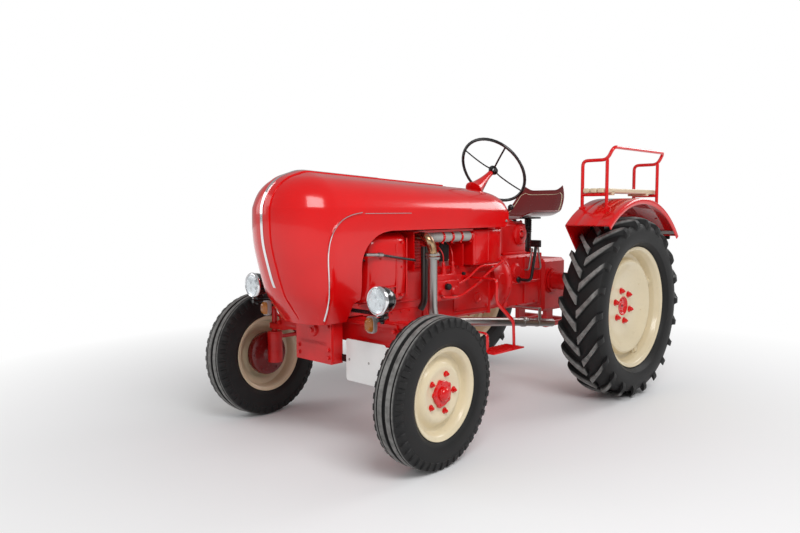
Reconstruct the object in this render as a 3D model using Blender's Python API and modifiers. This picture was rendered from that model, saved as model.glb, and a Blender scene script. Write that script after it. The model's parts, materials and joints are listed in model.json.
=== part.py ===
"""A small air-cooled farm tractor: hood hinged at its nose, steered front wheels, four free wheels.

Frame: metres, +Z up, the tractor faces -Y and its left side is +X.
The origin lies on the ground below the middle of the whole machine.
"""
import math

import bmesh
import bpy
from mathutils import Matrix, Vector

# Driving dimensions
WHEELBASE = 1.84
NOSE_OVERHANG = 0.471
GAP = 0.0003                      # between pieces that touch
TURN_STEPS = 24                   # sides of a turned piece
SMALL_STEPS = 12                  # sides of a small turned piece

FRONT_TYRE_RADIUS = 0.357
FRONT_TYRE_WIDTH = 0.156
FRONT_RIM_RADIUS = 0.200
REAR_TYRE_RADIUS = 0.575
REAR_TYRE_WIDTH = 0.285
REAR_RIM_RADIUS = 0.365
RIM_FLANGE_HEIGHT = 0.020
FLANGE_THICKNESS = 0.005
FRONT_RIM_EDGE = 0.0624           # half the width over the flanges
REAR_RIM_EDGE = 0.100
RIM_SHEET = 0.006
REAR_HALF_TRACK = 0.66

KINGPIN_X = 0.56
KINGPIN_RADIUS = 0.016
STUB_LENGTH = 0.115               # from the kingpin to the middle of the front tyre
STUB_RADIUS = 0.020
CAMBER = math.radians(2.5)        # the tops of the front wheels lean out
REST_STEER = math.radians(3.0)    # the front wheels stand turned a little to the left
PIN_CLEARANCE = 0.0005

FRONT_AXLE_Y = (NOSE_OVERHANG - WHEELBASE - REAR_TYRE_RADIUS) / 2
REAR_AXLE_Y = FRONT_AXLE_Y + WHEELBASE
REAR_AXLE_Z = REAR_TYRE_RADIUS

# Front axle and support
BEAM_LOW = 0.535
BEAM_HIGH = 0.650
BEAM_HALF_DEPTH = 0.045
BEAM_HALF_LENGTH = 0.47
FORK_RADIUS = 0.030
FORK_THICKNESS = 0.030
PIVOT_RADIUS = 0.022
SUPPORT_HALF_WIDTH = 0.14
SUPPORT_FRONT = -0.165            # measured from the front axle, as all these Y values
SUPPORT_FRONT_DEPTH = 0.075
SUPPORT_REAR = 0.20
SUPPORT_REAR_DEPTH = 0.105
SUPPORT_BOTTOM = 0.43
SADDLE_LOW = 0.656
SADDLE_HIGH = 0.72
TIE_ROD_Z = 0.490
TIE_ROD_RADIUS = 0.011
STEER_ARM = (0.0, 0.16)           # from the kingpin to the ball joint, X towards the wheel
ARM_Z = 0.462
ARM_RADIUS = 0.010
BALL_PIN_RADIUS = 0.008
EYE_RADIUS = 0.020
EYE_HALF_HEIGHT = 0.012

# Hood
HOOD_SHEET = 0.003
HOOD_REAR = 1.14
HOOD_SEAM = 0.785
HOOD_CREASE_Z = 1.185
HOOD_EDGE_Z = 1.092
HOOD_HALF_WIDTH = 0.27
NOSE_CENTRE = -0.216
HOOD_TOP_DROP = 0.048             # the top falls this much for each metre back
HINGE_Y = -0.235
HINGE_Z = 0.70
HINGE_BAR_RADIUS = 0.009
HINGE_BAR_HALF = 0.1915
HINGE_LUG_X = 0.09
HINGE_LUG_THICKNESS = 0.020

# Engine and drive line
CRANKCASE_HALF_WIDTH = 0.15
CRANKCASE_LOW = 0.56
CRANKCASE_HIGH = 0.87
ENGINE_LENGTH = 0.92
CYLINDER_RADIUS = 0.062
CYLINDER_FIRST = 0.43
CYLINDER_PITCH = 0.14
HEAD_HALF_WIDTH = 0.10
HEAD_LOW = 1.04
HEAD_HIGH = 1.16
SHROUD_HALF_WIDTH = 0.235
SHROUD_HIGH = 1.08
SHROUD_REAR = 0.33
BELL_LENGTH = 0.18
BELL_RADIUS = 0.19
BELL_Z = 0.74
GEARBOX_HALF_WIDTH = 0.14
GEARBOX_LOW = 0.56
GEARBOX_HIGH = 0.90
REAR_CASE_HALF_LENGTH = 0.14
REAR_CASE_HALF_WIDTH = 0.16
REAR_CASE_LOW = 0.50
REAR_CASE_HIGH = 0.86
TRUMPET_RADIUS = 0.06
TRUMPET_Z = 0.71
TRUMPET_FORWARD = 0.04
FINAL_DRIVE_IN = 0.42
FINAL_DRIVE_OUT = 0.495
FINAL_DRIVE_RADIUS = 0.10
REAR_SHAFT_RADIUS = 0.045

# Cowl, steering and seat
COWL_REAR = 1.20
COWL_LOW = 1.10
COWL_HALF_WIDTH = 0.260
COWL_TOP = 1.335
COLUMN_AXIS = Vector((0, 0.835, 0.55)).normalized()
WHEEL_HUB = (0, 1.34, 1.45)       # X, Y from the front axle, Z
STEERING_WHEEL_RADIUS = 0.23
SEAT_HALF_WIDTH = 0.22
SEAT_FRONT = WHEELBASE - 0.39
SEAT_LENGTH = 0.50
SEAT_Z = 1.155
SEAT_RISE = 0.175
SEAT_SHEET = 0.008

# Fenders and the bench on the left one
FENDER_RADIUS = 0.69
FENDER_IN = 0.50
FENDER_OUT = 0.80
FENDER_SHEET = 0.003
FENDER_WALL_RADIUS = 0.46
FENDER_REAR_ANGLE = 40
FENDER_FRONT_ANGLE = 130
RAIL_RADIUS = 0.011
RAIL_POST_X = (0.525, 0.69)
RAIL_Y = (-0.28, 0.41)            # from the rear axle
RAIL_ARM_Z = 1.495
RAIL_BACK = (0.73, 1.57)
BENCH_TOP = 1.325
SLAT_THICKNESS = 0.028

# Lamps
LAMP_X = 0.496
LAMP_Z = 0.784
LAMP_RADIUS = 0.0705
LAMP_DEPTH = 0.112
LAMP_FRONT = -0.203

for leftover in list(bpy.data.objects):
    bpy.data.objects.remove(leftover, do_unlink=True)

tractor = bpy.data.collections.new("farm_tractor")
cutters = bpy.data.collections.new("cutters")
bpy.context.scene.collection.children.link(tractor)
bpy.context.scene.collection.children.link(cutters)


def material(name, colour, roughness, metallic=0.0):
    made = bpy.data.materials.new(name)
    made.use_nodes = True
    shader = made.node_tree.nodes["Principled BSDF"]
    shader.inputs["Base Color"].default_value = (*colour, 1)
    shader.inputs["Roughness"].default_value = roughness
    shader.inputs["Metallic"].default_value = metallic
    return made


RED = material("red_paint", (0.62, 0.012, 0.008), 0.25)
DARK_RED = material("dark_red_paint", (0.25, 0.006, 0.006), 0.35)
CREAM = material("cream_paint", (0.76, 0.66, 0.46), 0.35)
RUBBER = material("rubber", (0.018, 0.018, 0.018), 0.75)
BLACK = material("black_paint", (0.012, 0.012, 0.012), 0.35)
CHROME = material("chrome", (0.80, 0.80, 0.82), 0.08, 1.0)
STEEL = material("polished_steel", (0.55, 0.53, 0.50), 0.25, 1.0)
BRONZE = material("heat_tinted_steel", (0.45, 0.30, 0.18), 0.30, 1.0)
GREY = material("cast_grey", (0.35, 0.36, 0.37), 0.45, 0.6)
WHITE = material("white_plate", (0.85, 0.85, 0.85), 0.40)
AMBER = material("amber_lens", (0.85, 0.30, 0.02), 0.15)
RUBY = material("red_lens", (0.55, 0.01, 0.01), 0.15)


def spot(x, y, z):
    """A point given by its distance behind the front axle."""
    return Vector((x, FRONT_AXLE_Y + y, z))


def adopt(name, mesh, paint, place=(0, 0, 0), turn=None, collection=tractor):
    made = bpy.data.objects.new(name, mesh)
    made.location = place
    if turn is not None:
        made.rotation_mode = "QUATERNION"
        made.rotation_quaternion = turn
    if paint is not None:
        mesh.materials.append(paint)
    collection.objects.link(made)
    if collection is cutters:
        made.hide_render = True
        made.display_type = "WIRE"
    return made


def along(axis):
    """The turn that takes +Z to the given axis."""
    return Vector((0, 0, 1)).rotation_difference(Vector(axis))


def box(name, low, high, paint, collection=tractor, bevel=0.0):
    low = Vector(low)
    high = Vector(high)
    mesh = bpy.data.meshes.new(name)
    shape = bmesh.new()
    bmesh.ops.create_cube(shape, size=1)
    bmesh.ops.scale(shape, vec=high - low, verts=shape.verts)
    shape.to_mesh(mesh)
    shape.free()
    made = adopt(name, mesh, paint, (low + high) / 2, collection=collection)
    if bevel:
        edge = made.modifiers.new("edge", "BEVEL")
        edge.width = bevel
        edge.segments = 1
    return made


def rod(name, start, end, radius, paint, collection=tractor, end_radius=None, steps=SMALL_STEPS):
    """A cylinder or cone from start to end, with its origin at start."""
    start = Vector(start)
    end = Vector(end)
    length = (end - start).length
    mesh = bpy.data.meshes.new(name)
    shape = bmesh.new()
    bmesh.ops.create_cone(shape, cap_ends=True, segments=steps, radius1=radius,
                          radius2=radius if end_radius is None else end_radius, depth=length)
    bmesh.ops.translate(shape, vec=(0, 0, length / 2), verts=shape.verts)
    shape.to_mesh(mesh)
    shape.free()
    return adopt(name, mesh, paint, start, along(end - start), collection)


def turned(name, profile, place, axis, paint, steps=TURN_STEPS, closed=False, collection=tractor):
    """A profile of (radius, height) points, outer side from top to bottom, turned about the axis."""
    mesh = bpy.data.meshes.new(name)
    points = [(radius, 0, height) for radius, height in profile]
    edges = [(index, index + 1) for index in range(len(points) - 1)]
    if closed:
        edges.append((len(points) - 1, 0))
    mesh.from_pydata(points, edges, [])
    made = adopt(name, mesh, paint, place, along(axis), collection)
    screw = made.modifiers.new("turn", "SCREW")
    screw.steps = steps
    screw.render_steps = steps
    screw.use_merge_vertices = True
    screw.merge_threshold = 0.00001
    return made


def as_mesh(source, collection):
    """The source curve as a closed mesh object that takes Boolean modifiers."""
    bpy.context.view_layer.update()
    seen = bpy.context.evaluated_depsgraph_get()
    mesh = bpy.data.meshes.new_from_object(source.evaluated_get(seen))
    mesh.materials.clear()
    name = source.name
    matrix = source.matrix_world.copy()
    bpy.data.objects.remove(source, do_unlink=True)
    shape = bmesh.new()
    shape.from_mesh(mesh)
    bmesh.ops.remove_doubles(shape, verts=shape.verts, dist=0.00001)
    shape.to_mesh(mesh)
    shape.free()
    made = adopt(name, mesh, None, collection=collection)
    made.name = name
    made.matrix_world = matrix
    return made


def tube(name, points, radius, paint, collection=tractor, bend=0.0):
    """A round bar through the points, its corners eased where a bend is given."""
    curve = bpy.data.curves.new(name, "CURVE")
    curve.dimensions = "3D"
    curve.bevel_depth = radius
    curve.bevel_resolution = 2
    curve.use_fill_caps = True
    path = eased(points, bend) if bend else [Vector(point) for point in points]
    spline = curve.splines.new("POLY")
    spline.points.add(len(path) - 1)
    for knot, point in zip(spline.points, path):
        knot.co = (*point, 1)
    made = bpy.data.objects.new(name, curve)
    collection.objects.link(made)
    made = as_mesh(made, collection)
    if paint is not None:
        made.data.materials.append(paint)
    return made


def eased(points, bend, steps=4):
    """The points with each inner corner replaced by a short curved run."""
    points = [Vector(point) for point in points]
    path = [points[0]]
    for before, corner, after in zip(points, points[1:], points[2:]):
        reach_in = min(bend, (before - corner).length * 0.45)
        reach_out = min(bend, (after - corner).length * 0.45)
        start = corner + (before - corner).normalized() * reach_in
        end = corner + (after - corner).normalized() * reach_out
        for step in range(steps + 1):
            share = step / steps
            first = start.lerp(corner, share)
            second = corner.lerp(end, share)
            path.append(first.lerp(second, share))
    path.append(points[-1])
    return path


def side_plate(name, outline, low_x, high_x, paint, collection=tractor):
    """A flat outline of (Y, Z) points in world terms, as thick as the X range."""
    curve = bpy.data.curves.new(name, "CURVE")
    curve.dimensions = "2D"
    curve.fill_mode = "BOTH"
    curve.extrude = (high_x - low_x) / 2
    spline = curve.splines.new("POLY")
    spline.points.add(len(outline) - 1)
    spline.use_cyclic_u = True
    for knot, (y, z) in zip(spline.points, outline):
        knot.co = (y, z, 0, 1)
    made = bpy.data.objects.new(name, curve)
    made.rotation_euler = (math.radians(90), 0, math.radians(90))
    made.location = ((low_x + high_x) / 2, 0, 0)
    collection.objects.link(made)
    made = as_mesh(made, collection)
    if paint is not None:
        made.data.materials.append(paint)
    return made


def combine(target, other, operation):
    """Adds or takes away the other object, which moves to the cutters."""
    if other.name not in cutters.objects:
        tractor.objects.unlink(other)
        cutters.objects.link(other)
    other.hide_render = True
    other.display_type = "WIRE"
    step = target.modifiers.new(other.name, "BOOLEAN")
    step.operation = operation
    step.object = other
    step.solver = "EXACT"


def add(target, *others):
    for other in others:
        combine(target, other, "UNION")
    return target


def cut(target, *others):
    for other in others:
        combine(target, other, "DIFFERENCE")
    return target


# Front support: a plate before the axle beam, one behind it and a saddle over it
def front_support():
    half = SUPPORT_HALF_WIDTH
    support = box("front_support", spot(-half, SUPPORT_FRONT, SADDLE_LOW - 0.006),
                  spot(half, SUPPORT_REAR, SADDLE_HIGH), RED)
    front_plate = box("support_front_plate", spot(-half, SUPPORT_FRONT, SUPPORT_BOTTOM),
                      spot(half, SUPPORT_FRONT + SUPPORT_FRONT_DEPTH, SADDLE_LOW), None, cutters)
    rear_plate = box("support_rear_plate", spot(-half, SUPPORT_REAR - SUPPORT_REAR_DEPTH, BEAM_LOW),
                     spot(half, SUPPORT_REAR, SADDLE_LOW), None, cutters)
    room = box("support_beam_room",
               spot(-half - 0.01, -BEAM_HALF_DEPTH - 0.008, SUPPORT_BOTTOM - 0.01),
               spot(half + 0.01, BEAM_HALF_DEPTH + 0.008, BEAM_HIGH + 0.008), None, cutters)
    pivot_z = (BEAM_LOW + BEAM_HIGH) / 2
    pin = rod("axle_pivot_pin", spot(0, SUPPORT_FRONT + 0.03, pivot_z),
              spot(0, SUPPORT_REAR - 0.03, pivot_z), PIVOT_RADIUS, None, cutters)
    add(support, front_plate, rear_plate)
    cut(support, room)
    add(support, pin)
    for side in (-1, 1):
        middle = side * HINGE_LUG_X
        low_x = middle - HINGE_LUG_THICKNESS / 2
        high_x = middle + HINGE_LUG_THICKNESS / 2
        arm = box("hinge_arm", spot(low_x, HINGE_Y, HINGE_Z - 0.018),
                  spot(high_x, SUPPORT_FRONT + 0.02, HINGE_Z + 0.018), None, cutters)
        ring = rod("hinge_eye", spot(low_x, HINGE_Y, HINGE_Z), spot(high_x, HINGE_Y, HINGE_Z),
                   0.018, None, cutters)
        bore = rod("hinge_bore", spot(low_x - 0.01, HINGE_Y, HINGE_Z),
                   spot(high_x + 0.01, HINGE_Y, HINGE_Z), HINGE_BAR_RADIUS + 0.001, None, cutters)
        add(support, arm, ring)
        cut(support, bore)
    return support


def front_axle():
    beam = box("front_axle", spot(-BEAM_HALF_LENGTH, -BEAM_HALF_DEPTH, BEAM_LOW),
               spot(BEAM_HALF_LENGTH, BEAM_HALF_DEPTH, BEAM_HIGH), RED, bevel=0.012)
    pivot_z = (BEAM_LOW + BEAM_HIGH) / 2
    bore = rod("beam_bore", spot(0, -BEAM_HALF_DEPTH - 0.01, pivot_z),
               spot(0, BEAM_HALF_DEPTH + 0.01, pivot_z), PIVOT_RADIUS + 0.001, None, cutters)
    cut(beam, bore)
    for side in (-1, 1):
        for middle in (BEAM_LOW - 0.002, BEAM_HIGH - 0.002):
            low = middle - FORK_THICKNESS / 2
            high = middle + FORK_THICKNESS / 2
            ends = sorted((side * (BEAM_HALF_LENGTH - 0.03), side * KINGPIN_X))
            arm = box("fork_arm", spot(ends[0], 0.003 - FORK_RADIUS, low),
                      spot(ends[1], FORK_RADIUS - 0.003, high), None, cutters)
            eye = rod("fork_eye", spot(side * KINGPIN_X, 0, low), spot(side * KINGPIN_X, 0, high),
                      FORK_RADIUS, None, cutters)
            add(beam, arm, eye)
        bore = rod("kingpin_bore", spot(side * KINGPIN_X, 0, BEAM_LOW - 0.1),
                   spot(side * KINGPIN_X, 0, BEAM_HIGH + 0.1),
                   KINGPIN_RADIUS + PIN_CLEARANCE + 0.0005, None, cutters)
        cut(beam, bore)
    return beam


def wheel_axis(side):
    """The outward axis of a front wheel as it stands."""
    turn = REST_STEER
    return Vector((side * math.cos(turn) * math.cos(CAMBER),
                   side * math.sin(turn) * math.cos(CAMBER), -math.sin(CAMBER)))


# Half of a tyre's outline above the rim, as shares: (of the height over the seat, of the half width)
TYRE_SHAPE = ((0.50, 1.00), (0.78, 0.95), (0.92, 0.84), (1.00, 0.62))


def tyre_profile(seat, radius, width, rim_edge):
    bead = rim_edge - FLANGE_THICKNESS - GAP
    over = seat + RIM_FLANGE_HEIGHT + 0.001
    half = [(seat, bead), (over, bead), (over + 0.008, width / 2 * 0.92)]
    for rise, share in TYRE_SHAPE:
        half.append((seat + (radius - seat) * rise, width / 2 * share))
    top = list(half)
    bottom = [(reach, -height) for reach, height in reversed(half)]
    return top + bottom


def front_wheel_height():
    profile = tyre_profile(FRONT_RIM_RADIUS, FRONT_TYRE_RADIUS, FRONT_TYRE_WIDTH, FRONT_RIM_EDGE)
    return max(reach * math.cos(CAMBER) + abs(height) * math.sin(CAMBER)
               for reach, height in profile)


STUB_Z = front_wheel_height() + STUB_LENGTH * math.sin(CAMBER)


def front_wheel_centre(side):
    return spot(side * KINGPIN_X, 0, STUB_Z) + wheel_axis(side) * STUB_LENGTH


def steer_arm_end(side, z):
    reach_x, reach_y = STEER_ARM
    reach_x *= side
    x = reach_x * math.cos(REST_STEER) - reach_y * math.sin(REST_STEER)
    y = reach_x * math.sin(REST_STEER) + reach_y * math.cos(REST_STEER)
    return spot(side * KINGPIN_X + x, y, z)


def knuckle(side, name):
    x = side * KINGPIN_X
    drum = rod(name, spot(x, 0, STUB_Z - 0.045), spot(x, 0, ARM_Z + 0.035), 0.042, RED, steps=20)
    pin = rod("kingpin", spot(x, 0, ARM_Z), spot(x, 0, BEAM_HIGH + 0.03), KINGPIN_RADIUS,
              None, cutters)
    stub_start = spot(x, 0, STUB_Z)
    stub_end = stub_start + wheel_axis(side) * (STUB_LENGTH + 0.040)
    stub = rod("stub", stub_start, stub_end, STUB_RADIUS, None, cutters)
    arm = tube("steer_arm", (spot(x, 0, ARM_Z), steer_arm_end(side, ARM_Z)), ARM_RADIUS, None, cutters)
    foot = rod("steer_arm_end", steer_arm_end(side, ARM_Z - ARM_RADIUS),
               steer_arm_end(side, ARM_Z + ARM_RADIUS), 0.014, None, cutters)
    ball = rod("ball_pin", steer_arm_end(side, ARM_Z), steer_arm_end(side, TIE_ROD_Z + 0.016),
               BALL_PIN_RADIUS, None, cutters)
    return add(drum, pin, stub, arm, foot, ball)


def tie_rod():
    left = steer_arm_end(1, TIE_ROD_Z)
    right = steer_arm_end(-1, TIE_ROD_Z)
    made = rod("tie_rod", left, right, TIE_ROD_RADIUS, BLACK)
    low = Vector((0, 0, -EYE_HALF_HEIGHT))
    for end in (left, right):
        eye = rod("tie_rod_eye", end + low, end - low, EYE_RADIUS, None, cutters)
        bore = rod("tie_rod_bore", end + low * 2, end - low * 2,
                   BALL_PIN_RADIUS + PIN_CLEARANCE + 0.0005, None, cutters)
        add(made, eye)
        cut(made, bore)
    return made


# The disc and hub of a wheel, as (radius, height) points, height 0 in the tyre's middle
def front_rim_profile():
    seat = FRONT_RIM_RADIUS
    inside = seat - RIM_SHEET
    edge = FRONT_RIM_EDGE
    bore = STUB_RADIUS + PIN_CLEARANCE
    seat_edge = edge - FLANGE_THICKNESS
    flange = seat + RIM_FLANGE_HEIGHT
    return [(0, 0.075), (0.030, 0.066), (0.040, 0.034), (0.120, 0.040),
            (inside, 0.012), (inside + 0.004, edge), (flange, edge),
            (flange, seat_edge), (seat, seat_edge), (seat, -seat_edge), (flange, -seat_edge),
            (flange, -edge), (inside, -edge), (inside, 0.004),
            (0.120, 0.032), (0.046, 0.020), (0.046, -0.055), (bore, -0.055),
            (bore, 0.046), (0, 0.046)]


def rear_rim_profile():
    seat = REAR_RIM_RADIUS
    inside = seat - RIM_SHEET
    edge = REAR_RIM_EDGE
    bore = REAR_SHAFT_RADIUS + PIN_CLEARANCE
    seat_edge = edge - FLANGE_THICKNESS
    flange = seat + RIM_FLANGE_HEIGHT
    return [(0, 0.045), (0.055, 0.040), (0.062, 0.012), (0.155, 0.000),
            (0.250, 0.026), (0.285, 0.062), (inside, 0.056), (inside + 0.004, edge), (flange, edge),
            (flange, seat_edge), (seat, seat_edge), (seat, -seat_edge), (flange, -seat_edge),
            (flange, -edge), (inside, -edge), (inside, 0.046), (0.290, 0.052),
            (0.255, 0.016), (0.155, -0.010), (0.080, -0.006), (0.080, -0.100), (bore, -0.100),
            (bore, -0.018), (0, -0.018)]


def wheels():
    front = tyre_profile(FRONT_RIM_RADIUS + GAP, FRONT_TYRE_RADIUS, FRONT_TYRE_WIDTH, FRONT_RIM_EDGE)
    rear = tyre_profile(REAR_RIM_RADIUS + GAP, REAR_TYRE_RADIUS, REAR_TYRE_WIDTH, REAR_RIM_EDGE)
    for side, name in ((1, "left"), (-1, "right")):
        centre = front_wheel_centre(side)
        axis = wheel_axis(side)
        turned("front_tyre_" + name, front, centre, axis, RUBBER, closed=True)
        turned("front_rim_" + name, front_rim_profile(), centre, axis, CREAM)
        centre = Vector((side * REAR_HALF_TRACK, REAR_AXLE_Y, REAR_AXLE_Z))
        turned("rear_tyre_" + name, rear, centre, (side, 0, 0), RUBBER, closed=True)
        turned("rear_rim_" + name, rear_rim_profile(), centre, (side, 0, 0), CREAM)


# The hood's levels: (height, half width, how far the nose reaches before its centre)
HOOD_LEVELS = ((1.383, 0.000, 0.000), (1.378, 0.060, 0.045), (1.364, 0.110, 0.092),
               (1.345, 0.160, 0.142), (1.315, 0.203, 0.188), (1.275, 0.237, 0.224),
               (1.225, 0.260, 0.247), (HOOD_CREASE_Z, 0.268, 0.254),
               (1.06, HOOD_HALF_WIDTH, 0.250), (0.95, 0.265, 0.226),
               (0.80, 0.245, 0.179), (0.73, 0.220, 0.136), (0.64, 0.170, 0.074))
NOSE_STEPS = 7
HOOD_STATIONS = (HOOD_REAR, HOOD_SEAM, 0.31, 0.0)


def hood_skin(levels, stations, nose_steps):
    """Half of the hood's outer surface: one row a level, from the rear round to the nose."""
    shape = bmesh.new()
    rows = []
    top = levels[0][0]
    for z, half_width, depth in levels:
        share = max(0.0, (z - HOOD_CREASE_Z) / (top - HOOD_CREASE_Z))
        row = []
        for y in stations:
            drop = HOOD_TOP_DROP * y * share
            row.append(shape.verts.new(spot(half_width, y, z - drop)))
        for step in range(nose_steps + 1):
            angle = math.pi / 2 * step / nose_steps
            x = half_width * math.cos(angle)
            if step == nose_steps:
                x = 0
            y = NOSE_CENTRE - depth * math.sin(angle)
            row.append(shape.verts.new(spot(x, y, z)))
        rows.append(row)
    for (z, _, _), upper, lower in zip(levels, rows, rows[1:]):
        # behind the seam only the band below the crease goes on
        first = 1 if z > HOOD_CREASE_Z else 0
        for index in range(first, len(upper) - 1):
            shape.faces.new((upper[index], upper[index + 1], lower[index + 1], lower[index]))
    loose = [vert for vert in shape.verts if not vert.link_faces]
    bmesh.ops.delete(shape, geom=loose, context="VERTS")
    bmesh.ops.remove_doubles(shape, verts=shape.verts, dist=0.00001)
    bmesh.ops.dissolve_degenerate(shape, edges=shape.edges, dist=0.00001)
    return shape


def mirrored_shell(made, sheet):
    mirror = made.modifiers.new("other half", "MIRROR")
    mirror.use_axis = (True, False, False)
    mirror.merge_threshold = 0.0001
    skin = made.modifiers.new("sheet", "SOLIDIFY")
    skin.thickness = sheet
    skin.offset = -1
    skin.use_even_offset = True


# The edge of the wheel arch, as (Y, Z) points from the nose's lower edge back
ARCH_EDGE = ((-0.09, 0.60), (-0.09, 0.74), (-0.045, 0.75), (-0.069, 0.942), (-0.040, 1.010),
             (0.015, 1.058), (0.070, 1.082), (0.134, HOOD_EDGE_Z))


def hood():
    shape = hood_skin(HOOD_LEVELS, HOOD_STATIONS, NOSE_STEPS)
    mesh = bpy.data.meshes.new("hood")
    bmesh.ops.recalc_face_normals(shape, faces=shape.faces)
    shape.to_mesh(mesh)
    shape.free()
    made = adopt("hood", mesh, RED)
    mirrored_shell(made, HOOD_SHEET)
    behind = HOOD_REAR + 0.1
    outline = [(FRONT_AXLE_Y + y, z) for y, z in ARCH_EDGE]
    outline += [(FRONT_AXLE_Y + behind, HOOD_EDGE_Z), (FRONT_AXLE_Y + behind, 0.60)]
    arch = side_plate("wheel_arches", outline, -0.4, 0.4, None, cutters)
    cut(made, arch)
    bar = rod("hinge_bar", spot(-HINGE_BAR_HALF, HINGE_Y, HINGE_Z),
              spot(HINGE_BAR_HALF, HINGE_Y, HINGE_Z), HINGE_BAR_RADIUS, None, cutters)
    add(made, bar)
    pivot = spot(0, HINGE_Y, HINGE_Z)
    mesh.transform(Matrix.Translation(-pivot))
    made.location = pivot
    return made


# The engine, its cooling shroud and what hangs on them
def engine():
    front = SUPPORT_REAR + GAP
    rear = SUPPORT_REAR + ENGINE_LENGTH
    half = CRANKCASE_HALF_WIDTH
    box("crankcase", spot(-half, front, CRANKCASE_LOW), spot(half, rear, CRANKCASE_HIGH), RED,
        bevel=0.015)
    top = CRANKCASE_HIGH + GAP
    bank_front = SHROUD_REAR + 0.02
    bank_rear = HOOD_SEAM - 0.005
    bank = box("cylinder_bank", spot(-HEAD_HALF_WIDTH, bank_front, HEAD_LOW),
               spot(HEAD_HALF_WIDTH, bank_rear, HEAD_HIGH), RED, bevel=0.01)
    for index in range(3):
        y = CYLINDER_FIRST + CYLINDER_PITCH * index
        add(bank, rod("cylinder", spot(0, y, top), spot(0, y, HEAD_LOW + 0.05), CYLINDER_RADIUS,
                      None, cutters, steps=20))
    outline = ((0.0, SADDLE_HIGH + GAP), (SUPPORT_REAR, SADDLE_HIGH + GAP), (SUPPORT_REAR, top),
               (SHROUD_REAR, top), (SHROUD_REAR, SHROUD_HIGH), (0.05, SHROUD_HIGH),
               (0.015, SHROUD_HIGH - 0.02), (0.0, SHROUD_HIGH - 0.06))
    shroud = [(FRONT_AXLE_Y + y, z) for y, z in outline]
    made = side_plate("fan_housing", shroud, -SHROUD_HALF_WIDTH, SHROUD_HALF_WIDTH, RED)
    edge = made.modifiers.new("edge", "BEVEL")
    edge.width = 0.012
    edge.segments = 1
    box_front = 0.85
    box("side_box", spot(0.06, box_front, top), spot(SHROUD_HALF_WIDTH, rear, SHROUD_HIGH), RED,
        bevel=0.01)
    tube("intake_pipe", (spot(HEAD_HALF_WIDTH + GAP, 0.49, 1.06), spot(0.15, 0.49, 1.06),
                         spot(0.205, 0.52, 1.045),
                         spot(0.205, box_front - GAP, 1.045)), 0.030, GREY, bend=0.07)
    pump = box("injection_pump", spot(half + GAP, 0.50, 0.68), spot(0.235, 0.74, 0.85), RED, bevel=0.01)
    for index in range(3):
        y = 0.54 + 0.08 * index
        add(pump, rod("pump_outlet", spot(0.195, y, 0.84), spot(0.195, y, 0.90), 0.014, None,
                      cutters, steps=12))
    rod("air_cleaner", spot(-half - GAP - 0.055, 0.95, 0.68), spot(-half - GAP - 0.055, 0.95, 1.02),
        0.055, BLACK, steps=20)
    rod("dynamo", spot(-half - GAP - 0.05, 0.45, 0.76), spot(-half - GAP - 0.05, 0.70, 0.76),
        0.05, BLACK, steps=20)


# The exhaust leaves the head on the left, drops and runs back under the foot step
EXHAUST_X = 0.30
EXHAUST_Y = 0.41
EXHAUST_JOINT_Z = 0.946


def exhaust():
    tube("exhaust_elbow", (spot(HEAD_HALF_WIDTH + GAP, 0.40, 1.055), spot(0.20, 0.40, 1.055),
                           spot(EXHAUST_X, 0.375, 1.052), spot(EXHAUST_X, EXHAUST_Y, 0.99),
                           spot(EXHAUST_X, EXHAUST_Y, EXHAUST_JOINT_Z + GAP)), 0.025, BRONZE, bend=0.04)
    pipe = tube("exhaust_pipe", (spot(EXHAUST_X, EXHAUST_Y, EXHAUST_JOINT_Z),
                                 spot(EXHAUST_X, EXHAUST_Y, 0.60), spot(EXHAUST_X, 0.60, 0.575),
                                 spot(EXHAUST_X, 1.17, 0.510), spot(EXHAUST_X, 1.59, 0.455)),
                0.026, STEEL, bend=0.08)
    hanger = box("exhaust_hanger", spot(GEARBOX_HALF_WIDTH + GAP, 1.40, 0.565),
                 spot(EXHAUST_X + 0.02, 1.43, 0.585), None, cutters)
    drop = box("exhaust_hanger_drop", spot(EXHAUST_X - 0.01, 1.40, 0.48),
               spot(EXHAUST_X + 0.02, 1.43, 0.585), None, cutters)
    add(pipe, hanger, drop)


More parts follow.
